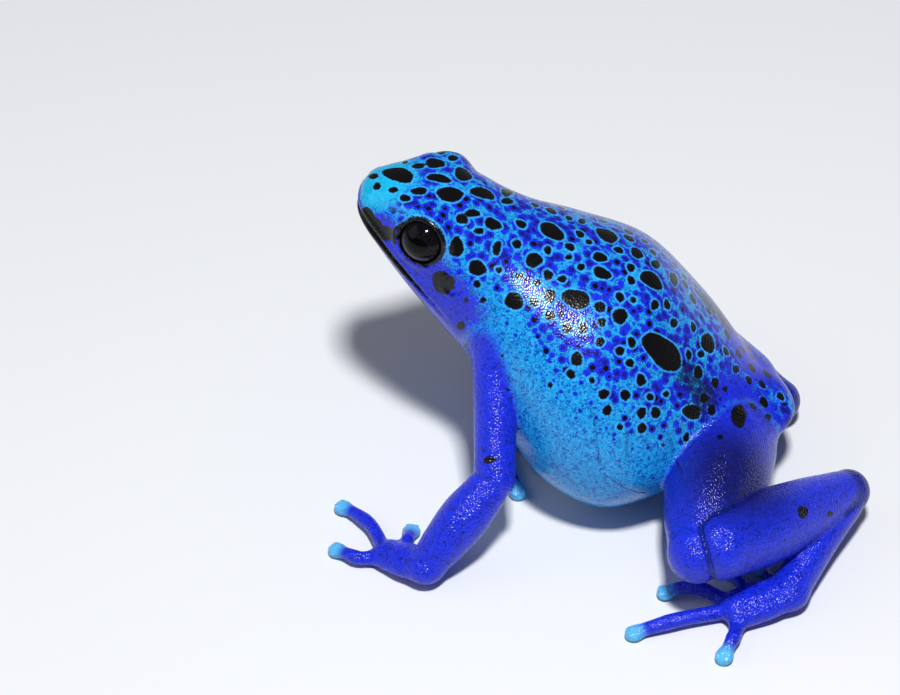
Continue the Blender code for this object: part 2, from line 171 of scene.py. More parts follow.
@dataclass(frozen=True)
class PhotoCamera:
    """The camera at the photograph's angle, and what it sees at each pixel."""

    azimuth: float = 11.0
    elevation: float = 43.0
    distance: float = 400.0
    pixels_per_mm: float = 10.8
    width: int = 900
    height: int = 695
    anchor: Point = (65.0, 0.0, 7.0)
    anchor_pixel: Pixel = (780.0, 415.0)
    sensor: float = 36.0

    def axes(self) -> tuple[np.ndarray, np.ndarray, np.ndarray]:
        """The camera's rightward, upward and backward directions."""
        turn, tilt = math.radians(self.azimuth), math.radians(self.elevation)
        level = np.array([-math.sin(turn), math.cos(turn), 0.0])
        right = np.array([math.cos(turn), math.sin(turn), 0.0])
        up = level * math.sin(tilt) + np.array([0.0, 0.0, math.cos(tilt)])
        back = -level * math.cos(tilt) + np.array([0.0, 0.0, math.sin(tilt)])
        return right, up, back

    def target(self) -> np.ndarray:
        """The point at the middle of the picture."""
        right, up, _ = self.axes()
        across = (self.anchor_pixel[0] - self.width / 2) / self.pixels_per_mm
        down = (self.anchor_pixel[1] - self.height / 2) / self.pixels_per_mm
        return np.array(self.anchor) - right * across + up * down

    def ray(self, pixel: Pixel) -> Pair:
        """The line of sight through a pixel.

        Args:
            pixel: Its place in the photograph, across and down.

        Returns:
            The line's start, and its direction of length 1.
        """
        right, up, back = self.axes()
        start = self.target() + back * self.distance
        across = (pixel[0] - self.width / 2) / self.pixels_per_mm
        down = (pixel[1] - self.height / 2) / self.pixels_per_mm
        way = self.target() + right * across - up * down - start
        return start, way / np.linalg.norm(way)

    def place(self) -> bpy.types.Object:
        """Puts the camera into the scene and makes it the one that renders."""
        right, up, back = self.axes()
        data = bpy.data.cameras.new("photo_camera")
        data.sensor_width = self.sensor
        data.lens = self.sensor * self.pixels_per_mm * self.distance / self.width
        data.clip_start, data.clip_end = 0.02, 20.0
        camera = bpy.data.objects.new("photo_camera", data)
        bpy.context.scene.collection.objects.link(camera)
        where = to_frame((self.target() + back * self.distance)[None])[0]
        turn = Matrix((right, up, back)).transposed().to_4x4()
        camera.matrix_world = Matrix.Translation(where) @ turn
        bpy.context.scene.camera = camera
        return camera


@dataclass(frozen=True)
class Reading:
    """Where points lie on the trunk: place along it, side and rise in each section."""

    place: np.ndarray
    side: np.ndarray
    rise: np.ndarray
    lip: np.ndarray
    distance: np.ndarray


@dataclass(frozen=True)
class Trunk:
    """The head and torso: rounded sections along a line from rump to snout.

    Each section gives x, z, pitch, half width, top, bottom and how square its roof is.
    """

    sections: tuple[tuple[float, ...], ...] = (
        (65.2, 6.2, 50.0, 3.6, 3.4, 3.2, 2.0),
        (62.4, 5.9, 48.0, 5.8, 4.4, 4.6, 1.9),
        (58.4, 6.2, 42.0, 8.8, 6.0, 6.8, 1.8),
        (53.0, 8.2, 30.0, 13.2, 9.2, 8.7, 1.75),
        (47.4, 12.0, 26.0, 13.5, 11.3, 9.6, 1.8),
        (42.4, 16.5, 24.0, 10.8, 8.9, 8.4, 1.95),
        (39.0, 19.8, 22.0, 8.2, 6.9, 7.0, 2.1),
        (36.5, 22.0, 22.0, 7.0, 6.0, 6.7, 2.2),
        (33.8, 24.2, 24.0, 6.2, 5.7, 5.9, 2.2),
        (31.1, 26.1, 26.0, 5.2, 4.8, 4.8, 2.2),
        (28.4, 27.7, 28.0, 4.0, 3.2, 3.4, 2.2),
        (25.8, 28.8, 28.0, 2.8, 1.6, 2.2, 2.1),
    )
    belly_squareness: float = 2.6
    rump_rounding: float = 4.0
    snout_rounding: float = 3.0
    mouth_drop: float = 0.47
    rings: int = 150

    def spacing(self, first: int, second: int) -> float:
        """The distance between two sections' middles."""
        one, other = self.sections[first], self.sections[second]
        return math.hypot(one[0] - other[0], one[1] - other[1])

    def table(self) -> np.ndarray:
        """The sections read closely along the line, one column for each size."""
        places = np.linspace(0.0, len(self.sections) - 1.0, self.rings)
        return np.stack([curve_through(size, places) for size in zip(*self.sections)], axis=1)

    def find_place(self, points: np.ndarray, rows: np.ndarray) -> Pair:
        """Finds the section that holds each point.

        Args:
            points: Points in the modelling axes.
            rows: What table() gives.

        Returns:
            The place of each point as a row number, and how far the point lies past the
            last row, or before the first as a negative number.
        """
        pitch = np.radians(rows[:, 2])
        ahead_x, ahead_z = -np.cos(pitch), np.sin(pitch)
        offset = rows[:, 0] * ahead_x + rows[:, 1] * ahead_z
        past = points[:, 0:1] * ahead_x + points[:, 2:3] * ahead_z - offset
        low = np.clip((past > 0.0).sum(axis=1) - 1, 0, len(rows) - 2)
        every = np.arange(len(points))
        before, after = past[every, low], past[every, low + 1]
        share = np.clip(before / np.maximum(before - after, 1e-9), 0.0, 1.0)
        excess = np.maximum(past[:, -1], 0.0) + np.minimum(past[:, 0], 0.0)
        return low + share, excess

    def read(self, points: np.ndarray) -> Reading:
        """Reads each point's place on the trunk and its distance from the surface."""
        rows = self.table()
        per_place = (self.rings - 1) / (len(self.sections) - 1)
        row, excess = self.find_place(points, rows)
        numbers = np.arange(self.rings)
        x, z, pitch, half_width, top, bottom, roof = (
            np.interp(row, numbers, rows[:, k]) for k in range(7)
        )
        pitch = np.radians(pitch)
        rise = (points[:, 0] - x) * np.sin(pitch) + (points[:, 2] - z) * np.cos(pitch)
        side = points[:, 1]
        height = np.where(rise > 0.0, top, bottom)
        power = np.where(rise > 0.0, roof, self.belly_squareness)
        across, along = np.abs(side) / half_width, np.abs(rise) / height
        size = np.maximum((across**power + along**power) ** (1.0 / power), 1e-4)
        slope_side = (across / size) ** (power - 1.0) / half_width
        slope_rise = (along / size) ** (power - 1.0) / height
        place = row / per_place
        reach_rump = place * self.spacing(0, 1) + np.minimum(excess, 0.0)
        reach_snout = (len(self.sections) - 1 - place) * self.spacing(-1, -2)
        reach_snout -= np.maximum(excess, 0.0)
        rump = np.clip(1.0 - reach_rump / self.rump_rounding, 0.0, None)
        snout = np.clip(1.0 - reach_snout / self.snout_rounding, 0.0, None)
        whole = np.sqrt(size**2 + rump**2 + snout**2)
        slope = np.sqrt(
            (size * slope_side) ** 2
            + (size * slope_rise) ** 2
            + (rump / self.rump_rounding) ** 2
            + (snout / self.snout_rounding) ** 2
        )
        distance = (whole - 1.0) * whole / np.maximum(slope, 1e-3)
        return Reading(place, side, rise, rise + self.mouth_drop * bottom, distance)


@dataclass(frozen=True)
class Bone:
    """One straight length of a limb, with evenly spaced radii."""

    start: Point
    end: Point
    radii: tuple[float, ...]
    flatness: float = 1.0

    def distance(self, points: np.ndarray) -> np.ndarray:
        """Distances from the skin over this length."""
        share, away = from_line(points, np.array(self.start), np.array(self.end))
        away[:, 2] /= self.flatness
        radius = curve_through(self.radii, share * (len(self.radii) - 1))
        return (length_of(away) - radius) * (0.5 + 0.5 * self.flatness)

    def reach(self) -> tuple[np.ndarray, float]:
        """The middle of the length, and how far it reaches from there."""
        start, end = np.array(self.start), np.array(self.end)
        return (start + end) / 2, float(np.linalg.norm(end - start) / 2 + max(self.radii))


@dataclass(frozen=True)
class Digit:
    """One finger or toe with the flat disc at its tip.

    Its radius goes from base_share to base_share less taper, and swells at the knuckle, whose
    three numbers are height, place and width.
    """

    root: Point
    way: Point
    tip: Point
    radius: float
    slimness: float = 0.8
    base_share: float = 1.08
    taper: float = 0.22
    knuckle: Swell = (0.1, 0.45, 0.1)
    settle: float = 0.25
    bend: float = 0.6
    disc_length: float = 1.5
    disc_radii: Point = (0.76, 0.84, 0.48)
    disc_setback: float = 0.25
    disc_fillet: float = 0.45
    disc_reach: float = 1.4
    steps: int = 12

    def ahead(self) -> np.ndarray:
        """The direction in which the disc points, level with the floor."""
        way = np.array(self.tip) - np.array(self.way)
        return way / np.linalg.norm(way)

    def centres(self) -> np.ndarray:
        """Points along the middle of the digit."""
        sunk = np.array((0.0, 0.0, self.settle))
        root, way, tip = (np.array(point) - sunk for point in (self.root, self.way, self.tip))
        tip[2] += self.settle
        neck = tip - self.ahead() * self.disc_length
        bend = (root + neck) / 2 + (way - (root + tip) / 2) * self.bend
        path = np.stack([root, bend, neck, tip])
        places = np.linspace(0.0, 3.0, self.steps)
        return np.stack([curve_through(path[:, k], places) for k in range(3)], axis=1)

    def disc_axes(self) -> np.ndarray:
        """The disc's own axes as rows: along, across and up."""
        ahead = self.ahead()
        across = np.cross((0.0, 0.0, 1.0), ahead)
        across /= np.linalg.norm(across)
        return np.stack([ahead, across, np.cross(ahead, across)])

    def distance(self, points: np.ndarray) -> np.ndarray:
        """Distances from the skin of the digit and its disc."""
        centres = self.centres()
        slim = self.radius * self.slimness
        along = np.linspace(0.0, 1.0, self.steps)
        radii = slim * (self.base_share - self.taper * along + swell(along, self.knuckle))
        nearest = np.full(len(points), FAR)
        for first, second, wide, narrow in zip(centres, centres[1:], radii, radii[1:]):
            share, offset = from_line(points, first, second)
            away = length_of(offset)
            nearest = np.minimum(nearest, away - wide - share * (narrow - wide))
        local = (points - centres[-1]) @ self.disc_axes().T
        local[:, 0] += self.disc_setback
        return soft_union(nearest, ellipsoid(local, self.disc_radii), self.disc_fillet)

    def reach(self) -> tuple[np.ndarray, float]:
        """The middle of the digit, and how far it reaches from there."""
        centres = self.centres()
        middle = centres.mean(axis=0)
        return middle, float(length_of(centres - middle).max() + self.disc_reach)


@dataclass(frozen=True)
class Limb:
    """An arm or a leg: its lengths, the joints between them and its digits.

    Each fold gives a joint's fillet, how far it spreads and how deep the skin's fold is. A seam is
    a line of painted shade in a fold that is deep enough to show one.
    """

    bones: tuple[Bone, ...]
    folds: tuple[tuple[float, float, float], ...]
    root_fold: tuple[float, float]
    digits: tuple[Digit, ...]
    pressed: float = 0.22
    web: float = 0.55
    groove_width: float = 0.28
    groove_reach: float = 4.2
    seam_from_depth: float = 0.1
    seam_spread: float = 1.3
    seam_under_skin: float = 1.5
    seam_ends: tuple[float, float] = (0.9, 1.5)
    seam_fade: float = 2.0

    def seam(self, points: np.ndarray) -> np.ndarray:
        """Distances from the nearest deep fold at a joint, where painted shade is drawn."""
        found = np.full(len(points), FAR)
        whole = near(self.bones[0], points)
        for bone, (_, _, depth) in zip(self.bones[1:], self.folds):
            other = near(bone, points)
            away = length_of(points - np.array(bone.start))
            ends = ramp(away, *(share * self.groove_reach for share in self.seam_ends))
            line = np.abs(whole - other) / self.seam_spread + self.seam_fade * ends
            whole = np.minimum(whole, other)
            if depth > self.seam_from_depth:
                found = np.minimum(found, np.where(whole < self.seam_under_skin, line, FAR))
        return found

    def distance(self, points: np.ndarray) -> np.ndarray:
        """Distances from the limb's skin, with a tight crease where folded lengths touch.

        Args:
            points: Points in the modelling axes.

        Returns:
            One distance for each point.
        """
        whole = near(self.bones[0], points)
        for bone, (fillet, spread, depth) in zip(self.bones[1:], self.folds):
            away = length_of(points - np.array(bone.start))
            reach = self.pressed + fillet * hill(away, 0.0, spread)
            other = near(bone, points)
            groove = depth * hill(whole - other, 0.0, self.groove_width)
            groove = groove * hill(away, 0.0, self.groove_reach)
            whole = soft_union(whole, other, reach) + groove
        for digit in self.digits:
            whole = soft_union(whole, near(digit, points), self.web)
        return whole

    def join(self, trunk: np.ndarray, points: np.ndarray) -> np.ndarray:
        """Joins the limb to the trunk: a broad fillet at its root, and a crease elsewhere."""
        away = length_of(points - np.array(self.bones[0].start))
        fillet, spread = self.root_fold
        reach = self.pressed + fillet * hill(away, 0.0, spread)
        return soft_union(trunk, self.distance(points), reach)


def near(form: Bone | Digit, points: np.ndarray) -> np.ndarray:
    """A form's distances, worked out only for points that it can touch."""
    middle, reach = form.reach()
    close = length_of(points - middle) < reach + FAR / 2
    found = np.full(len(points), FAR)
    if close.any():
        found[close] = form.distance(points[close])
    return found


@dataclass(frozen=True)
class Head:
    """What the head adds to the trunk: brows, lids, sockets, nostrils, eardrums and lips.

    Places are in head axes: back from the snout, out from the middle, and up. A name that ends in
    _swell or _dip gives a form's height, its distance from its middle line and its width.
    """

    snout: Point = (25.4, 0.0, 30.4)
    pitch: float = 36.0
    length: float = 20.0
    eye: Point = (7.7, 4.0, 1.5)
    eye_radius: float = 2.35
    eye_gap: float = 0.05
    tilt_up: float = 18.0
    tilt_forward: float = 12.0
    brow_radii: Point = (3.6, 2.2, 2.65)
    brow_out: float = 3.0
    brow_fillet: float = 1.0
    lid_radii: Point = (3.0, 2.88, 2.8)
    lid_fillet: float = 0.6
    lid_reach: float = 1.2
    lid_slant: float = 0.1
    opening_margin: float = 0.4
    opening_fillet: float = 0.3
    rim_radius: float = 2.1
    rim_thickness: float = 0.26
    rim_fillet: float = 0.25
    socket_fillet: float = 0.06
    loreal: Point = (4.0, 3.7, -0.6)
    loreal_dip: Swell = (0.3, 0.0, 1.5)
    nostril: Point = (1.6, 2.2, -0.6)
    nostril_radius: float = 0.26
    nostril_swell: Swell = (0.1, 0.55, 0.25)
    nostril_fillet: float = 0.12
    eardrum: Point = (12.0, 6.6, 0.6)
    eardrum_radius: float = 1.1
    eardrum_depth: float = 0.12
    eardrum_slope: float = 0.35
    eardrum_swell: Swell = (0.1, 1.2, 0.2)
    mouth_from: float = 7.0
    mouth_fade: float = 1.2
    mouth_dip: Swell = (0.34, 0.0, 0.13)
    lip_swell: Swell = (0.12, 0.5, 0.28)

    def local(self, points: np.ndarray) -> np.ndarray:
        """Points of the modelling axes in head axes."""
        still = points - np.array(self.snout)
        pitch = math.radians(self.pitch)
        back = still[:, 0] * math.cos(pitch) - still[:, 2] * math.sin(pitch)
        up = still[:, 0] * math.sin(pitch) + still[:, 2] * math.cos(pitch)
        return np.stack([back, still[:, 1], up], axis=1)

    def place(self, spot: Point, side: int) -> np.ndarray:
        """A place in head axes, on one side, in the modelling axes."""
        pitch = math.radians(self.pitch)
        back, out, up = spot
        still = np.array(self.snout)
        still = still + back * np.array([math.cos(pitch), 0.0, -math.sin(pitch)])
        still = still + up * np.array([math.sin(pitch), 0.0, math.cos(pitch)])
        still[1] += side * out
        return still

    def look(self, side: int) -> np.ndarray:
        """The direction in which an eye looks."""
        forward, up = math.radians(self.tilt_forward), math.radians(self.tilt_up)
        way = np.array([-math.sin(forward), side * math.cos(forward), math.tan(up)])
        return way / np.linalg.norm(way)

    def rim_distance(self, points: np.ndarray) -> np.ndarray:
        """Distances from the line that runs round the lids' openings."""
        local = self.local(points)
        local[:, 1] = np.abs(local[:, 1])
        return np.hypot(*self.opening(local - np.array(self.eye)))

    def opening(self, away: np.ndarray) -> Pair:
        """How far points lie outside the round of the lids' opening, and in front of its plane.

        Args:
            away: Points about the eye's middle, in head axes.

        Returns:
            The two distances.
        """
        look = self.local_look()
        depth = away @ look
        flat = length_of(away - depth[:, None] * look)
        return flat - self.rim_radius, depth - self.lid_reach - self.lid_slant * away[:, 2]

    def local_look(self) -> np.ndarray:
        """The direction in which the right eye looks, in head axes."""
        start = self.place((0.0, 0.0, 0.0), 1)
        ends = np.stack([start, start + self.look(1)])
        way = np.diff(self.local(ends), axis=0)[0]
        return way / np.linalg.norm(way)

    def shape(self, points: np.ndarray, whole: np.ndarray, reading: Reading) -> np.ndarray:
        """Adds the head's forms to the trunk.

        Args:
            points: Points in the modelling axes.
            whole: Distances from the trunk.
            reading: The points' places on the trunk.

        Returns:
            Distances from the trunk with its head finished.
        """
        local = self.local(points)
        local[:, 1] = np.abs(local[:, 1])
        close = (local[:, 0] < self.length) & (whole < FAR) & (whole > -FAR)
        local, made = local[close], whole[close]
        mouth = ramp(reading.place[close], self.mouth_from, self.mouth_from + self.mouth_fade)
        lip = np.abs(reading.lip[close])
        made = made + mouth * swell(lip, self.mouth_dip)
        made = made - mouth * swell(lip, self.lip_swell)
        made = made + swell(length_of(local - self.loreal), self.loreal_dip)
        away = local - np.array(self.eye)
        brow = local - np.array([self.eye[0], self.brow_out, self.eye[2]])
        made = soft_union(made, ellipsoid(brow, self.brow_radii), self.brow_fillet)
        outside, ahead = self.opening(away)
        made = soft_union(made, ellipsoid(away, self.lid_radii), self.lid_fillet)
        hollow = np.maximum(outside - self.opening_margin, -ahead)
        made = soft_cut(made, hollow, self.opening_fillet)
        rim = np.hypot(outside, ahead) - self.rim_thickness
        made = soft_union(made, rim, self.rim_fillet)
        socket = length_of(away) - self.eye_radius - self.eye_gap
        made = soft_cut(made, socket, self.socket_fillet)
        hole = length_of(local - self.nostril)
        made = made - swell(hole, self.nostril_swell)
        made = soft_cut(made, hole - self.nostril_radius, self.nostril_fillet)
        drum = length_of(local - self.eardrum)
        made = made - swell(drum, self.eardrum_swell)
        inner = self.eardrum_radius - self.eardrum_slope
        made = made + self.eardrum_depth * (1.0 - ramp(drum, inner, self.eardrum_radius))
        whole = whole.copy()
        whole[close] = made
        return whole


Line = tuple[Point, Point]
Path = tuple[Point, Point, Point]
SOLE_FLATNESS = 0.7


def digit_row(radii: tuple[float, ...], paths: tuple[Path, ...]) -> tuple[Digit, ...]:
    """Digits from their radii, and their roots, ways and tips."""
    return tuple(Digit(*path, radius) for path, radius in zip(paths, radii))


def arm(upper: Line, fore: Line, hand: Line, *fingers: Path) -> Limb:
    """An arm.

    Args:
        upper: The ends of the upper arm.
        fore: The ends of the forearm.
        hand: The ends of the hand.
        fingers: The fingers' roots, ways and tips.

    Returns:
        The arm.
    """
    return Limb(
        bones=(
            Bone(*upper, (2.3, 2.0, 1.9)),
            Bone(*fore, (2.0, 2.3, 2.1, 1.7)),
            Bone(*hand, (1.7, 1.9, 1.7), SOLE_FLATNESS),
        ),
        folds=((0.45, 1.5, 0.06), (0.9, 2.0, 0.0)),
        root_fold=(2.0, 4.2),
        digits=digit_row((0.72, 0.75, 0.78, 0.78), fingers),
    )


def leg(thigh: Bone, shank: Bone, tarsus: Line, foot: Line, *toes: Path) -> Limb:
    """A folded leg.

    Args:
        thigh: The thigh, whose radii differ from side to side.
        shank: The shank, likewise.
        tarsus: The ends of the tarsus.
        foot: The ends of the foot.
        toes: The toes' roots, ways and tips.

    Returns:
        The leg.
    """
    return Limb(
        bones=(
            thigh,
            shank,
            Bone(*tarsus, (2.1, 1.8, 1.8)),
            Bone(*foot, (1.8, 2.1, 2.1), SOLE_FLATNESS),
        ),
        folds=((0.1, 1.2, 0.24), (0.2, 1.3, 0.12), (1.0, 2.2, 0.0)),
        root_fold=(2.6, 5.5),
        digits=digit_row((0.7, 0.75, 0.8, 0.85, 0.8), toes),
    )


LEFT_ARM = arm(
    ((39.4, -6.6, 18.4), (40.9, -14.9, 8.6)),
    ((40.2, -15.7, 7.7), (35.6, -20.6, 2.0)),
    ((35.6, -20.6, 2.0), (32.0, -19.0, 1.1)),
    ((34.8, -18.4, 1.2), (35.6, -17.2, 1.1), (36.0, -15.8, 0.5)),
    ((32.9, -17.6, 1.2), (33.2, -16.6, 1.2), (33.2, -14.9, 0.5)),
    ((30.9, -17.6, 1.1), (29.0, -14.9, 1.2), (26.2, -13.2, 0.5)),
    ((30.4, -19.4, 1.1), (28.6, -19.7, 1.1), (26.8, -18.7, 0.5)),
)
RIGHT_ARM = arm(
    ((39.4, 6.6, 18.0), (38.0, 12.0, 9.2)),
    ((38.0, 11.1, 8.5), (38.0, 2.8, 2.0)),
    ((38.0, 2.8, 2.0), (38.8, -0.9, 1.1)),
    ((40.0, 0.2, 1.2), (41.2, 0.2, 1.1), (42.9, 0.0, 0.5)),
    ((40.2, -1.5, 1.2), (41.6, -2.5, 1.2), (43.4, -4.6, 0.5)),
    ((39.1, -2.6, 1.1), (40.2, -5.0, 1.2), (42.0, -8.4, 0.5)),
    ((37.5, -1.6, 1.1), (37.4, -3.5, 1.1), (38.1, -6.0, 0.5)),
)
LEFT_LEG = leg(
    Bone((60.7, -5.4, 6.8), (60.2, -19.4, 7.3), (4.7, 4.7, 4.0, 2.75)),
    Bone((62.2, -18.6, 7.7), (72.2, -5.8, 4.1), (3.05, 3.4, 2.9, 2.1)),
    ((72.2, -5.8, 4.0), (68.4, -17.4, 1.9)),
    ((68.4, -17.4, 1.9), (64.6, -19.6, 1.3)),
    ((66.9, -16.4, 1.3), (66.3, -15.2, 1.2), (65.6, -13.9, 0.5)),
    ((64.6, -17.4, 1.3), (63.9, -16.4, 1.3), (62.9, -14.9, 0.5)),
    ((62.6, -18.6, 1.2), (59.6, -17.9, 1.6), (57.2, -18.4, 0.5)),
    ((62.2, -20.4, 1.2), (58.6, -22.2, 1.3), (55.2, -24.0, 0.5)),
    ((64.4, -21.8, 1.2), (64.2, -23.6, 1.2), (63.7, -25.4, 0.5)),
)
RIGHT_LEG = leg(
    Bone((59.8, 4.4, 4.8), (46.6, 15.0, 6.2), (4.7, 4.7, 4.1, 3.0)),
    Bone((48.4, 14.1, 6.2), (64.2, 6.4, 2.7), (3.25, 3.4, 2.9, 2.1)),
    ((64.2, 6.4, 2.7), (55.0, 15.0, 1.8)),
    ((55.0, 15.0, 1.8), (51.2, 17.0, 1.3)),
    ((53.4, 14.6, 1.3), (52.4, 13.4, 1.2), (51.4, 12.2, 0.5)),
    ((50.6, 15.1, 1.3), (49.2, 14.2, 1.2), (47.4, 13.3, 0.5)),
    ((49.2, 16.8, 1.2), (46.4, 16.8, 1.3), (43.6, 16.8, 0.5)),
    ((49.4, 18.4, 1.2), (45.4, 19.8, 1.3), (40.8, 21.0, 0.5)),
    ((51.4, 19.2, 1.2), (49.6, 20.6, 1.2), (47.8, 22.0, 0.5)),
)


@dataclass(frozen=True)
class FrogForm:
    """The whole frog as one distance field."""

    trunk: Trunk = Trunk()
    head: Head = Head()
    limbs: tuple[Limb, ...] = (LEFT_ARM, RIGHT_ARM, LEFT_LEG, RIGHT_LEG)

    def distance(self, points: np.ndarray) -> np.ndarray:
        """Distances from the skin, cut flat where the frog stands on the floor."""
        reading = self.trunk.read(points)
        whole = self.head.shape(points, np.clip(reading.distance, -FAR, FAR), reading)
        for limb in self.limbs:
            whole = limb.join(whole, points)
        return np.maximum(whole, -points[:, 2])

    def slope(self, points: np.ndarray, step: float = 0.03) -> Pair:
        """The field and its gradient.

        Args:
            points: Where they are wanted.
            step: How far apart the field is read.

        Returns:
            The distances, and the gradients.
        """
        corners = np.array([(1, -1, -1), (-1, -1, 1), (-1, 1, -1), (1, 1, 1)], float)
        values = [self.distance(points + corner * step) for corner in corners]
        gradient = sum(v[:, None] * c for v, c in zip(values, corners)) / (4.0 * step)
        return sum(values) / 4.0, gradient


@dataclass(frozen=True)
class SkinMesher:
    """Turns a distance field into one closed mesh of small even faces.

    Its points are pulled onto the surface in several turns, and the first ones even them out too.
    """

    low: Point = (24.0, -27.3, -0.35)
    high: Point = (75.6, 24.4, 31.8)
    fine: float = 0.2
    plain: float = 0.28
    fine_to_x: float = 37.0
    fine_from_z: float = 21.0
    block: int = 4
    band: float = 1.8
    chunks: int = 8
    turns: int = 4
    even_turns: int = 2
    evening: float = 0.6
    longest_step: float = 0.25
    least_slope: float = 0.05

    def axis(self, low: float, high: float, fine_low: float, fine_high: float) -> np.ndarray:
        """Grid lines along one axis, closer together between two values."""
        lines = [low]
        while lines[-1] < high or (len(lines) - 1) % self.block:
            inside = fine_low <= lines[-1] < fine_high
            lines.append(lines[-1] + (self.fine if inside else self.plain))
        return np.array(lines)

    def axes(self) -> list[np.ndarray]:
        """The grid lines along x, y and z."""
        return [
            self.axis(self.low[0], self.high[0], self.low[0], self.fine_to_x),
            self.axis(self.low[1], self.high[1], 0.0, 0.0),
            self.axis(self.low[2], self.high[2], self.fine_from_z, self.high[2]),
        ]

    def sample(self, form: Field, axes: list[np.ndarray]) -> np.ndarray:
        """Reads the field at the grid's corners, closely only near the surface.

        Args:
            form: The field.
            axes: The grid lines.

        Returns:
            The field's values as a block of numbers.
        """
        sparse = [axis[:: self.block] for axis in axes]
        mesh = np.stack(np.meshgrid(*sparse, indexing="ij"), axis=-1)
        rough = form(mesh.reshape(-1, 3)).reshape(mesh.shape[:3])
        close = np.abs(rough) < self.band
        cells = np.zeros([n - 1 for n in rough.shape], bool)
        for corner in CORNERS:
            cells |= window(close, corner, cells.shape)
        nodes = np.zeros([len(axis) for axis in axes], bool)
        wide = cells.repeat(self.block, 0).repeat(self.block, 1).repeat(self.block, 2)
        for corner in CORNERS:
            view = window(nodes, corner, wide.shape)
            view |= wide
        picks = [
            np.minimum(np.arange(len(axis)) // self.block, len(few) - 1)
            for axis, few in zip(axes, sparse)
        ]
        values = rough[np.ix_(*picks)]
        places = np.argwhere(nodes)
        where = np.stack([axes[k][places[:, k]] for k in range(3)], axis=1)
        found = np.concatenate([form(part) for part in np.array_split(where, self.chunks)])
        values[tuple(places.T)] = found
        return values

    def nets(self, axes: list[np.ndarray], values: np.ndarray) -> Pair:
        """One point in each cell that the surface crosses, and a face over each crossed edge.

        Args:
            axes: The grid lines.
            values: The field at the grid's corners.

        Returns:
            The points, and the faces of four corners each.
        """
        inside = values < 0.0
        count = np.zeros([n - 1 for n in inside.shape], np.int8)
        for corner in CORNERS:
            count += window(inside, corner, count.shape)
        crossed = (count > 0) & (count < 8)
        cells = np.argwhere(crossed)
        index = np.full(count.shape, -1, np.int64)
        index[crossed] = np.arange(len(cells))
        total, hits = np.zeros((len(cells), 3)), np.zeros(len(cells))
        for first in CORNERS:
            for axis in range(3):
                if first[axis]:
                    continue
                one = cells + np.array(first)
                other = one.copy()
                other[:, axis] += 1
                low, high = values[tuple(one.T)], values[tuple(other.T)]
                cuts = (low < 0.0) != (high < 0.0)
                share = np.where(cuts, low / np.where(cuts, low - high, 1.0), 0.0)
                point = np.stack([axes[k][one[:, k]] for k in range(3)], axis=1)
                point[:, axis] += share * (axes[axis][other[:, axis]] - point[:, axis])
                total[cuts] += point[cuts]
                hits[cuts] += 1
        faces = []
        for axis in range(3):
            side, up = (axis + 1) % 3, (axis + 2) % 3
            low = inside.take(range(inside.shape[axis] - 1), axis)
            high = inside.take(range(1, inside.shape[axis]), axis)
            edges = np.argwhere(low != high)
            edges = edges[(edges[:, side] > 0) & (edges[:, up] > 0)]
            outward = low[tuple(edges.T)]
            ring = []
            for back_side, back_up in ((1, 1), (0, 1), (0, 0), (1, 0)):
                cell = edges.copy()
                cell[:, side] -= back_side
                cell[:, up] -= back_up
                ring.append(index[tuple(cell.T)])
            quads = np.stack(ring, axis=1)
            quads[~outward] = quads[~outward][:, ::-1]
            faces.append(quads)
        return total / hits[:, None], np.concatenate(faces)

    def relax(self, points: np.ndarray, faces: np.ndarray, form: FrogForm) -> Pair:
        """Evens out the points and pulls them onto the surface.

        Args:
            points: The mesh's points.
            faces: Its faces.
            form: The field that they belong to.

        Returns:
            The moved points, and the outward normals there.
        """
        ends = np.concatenate([faces[:, [k, (k + 1) % 4]] for k in range(4)])
        count = np.maximum(np.bincount(ends[:, 0], minlength=len(points)), 1)
        normals = np.zeros_like(points)
        for turn in range(self.turns):
            value, gradient = form.slope(points)
            length = np.maximum(length_of(gradient), self.least_slope)[:, None]
            step = value[:, None] * gradient / length**2
            size = np.maximum(length_of(step), 1e-9)[:, None]
            points = points - step * np.minimum(1.0, self.longest_step / size)
            normals = gradient / length
            if turn < self.even_turns:
                sums = [
                    np.bincount(ends[:, 0], points[ends[:, 1], k], len(points)) for k in range(3)
                ]
                shift = np.stack([one / count for one in sums], axis=1) - points
                shift -= (shift * normals).sum(axis=1, keepdims=True) * normals
                points = points + self.evening * shift
        points[:, 2] = np.maximum(points[:, 2], 0.0)
        return points, normals

    def build(self, form: FrogForm) -> tuple[np.ndarray, np.ndarray, np.ndarray]:
        """The frog's skin as points, faces and normals."""
        axes = self.axes()
        values = self.sample(form.distance, axes)
        points, faces = self.nets(axes, values)
        points, normals = self.relax(points, faces, form)
        return points, faces, normals


class Slot(Enum):
    """The names skin and eye."""

    SKIN = "skin"
    EYE = "eye"


class Zone(Enum):
    """What the skin's points say about its colour, each kept as an attribute of that name."""

    # Distances from black spots, lid rims and the lip's edge; near the snout the lip's band also
    # holds painted shade.
    SPOT_EDGE = "spot_edge"
    AZURE = "azure"
    DORSAL = "dorsal"
    VIOLET = "violet"
    SOOT = "soot"
    PALE = "pale"
    # Painted shade on each thigh.
    DUSK = "thigh_shade"
    # Distances from creases and joint folds, where painted shade is drawn as dark lines.
    CREASE = "crease"
    SNOUT = "snout"


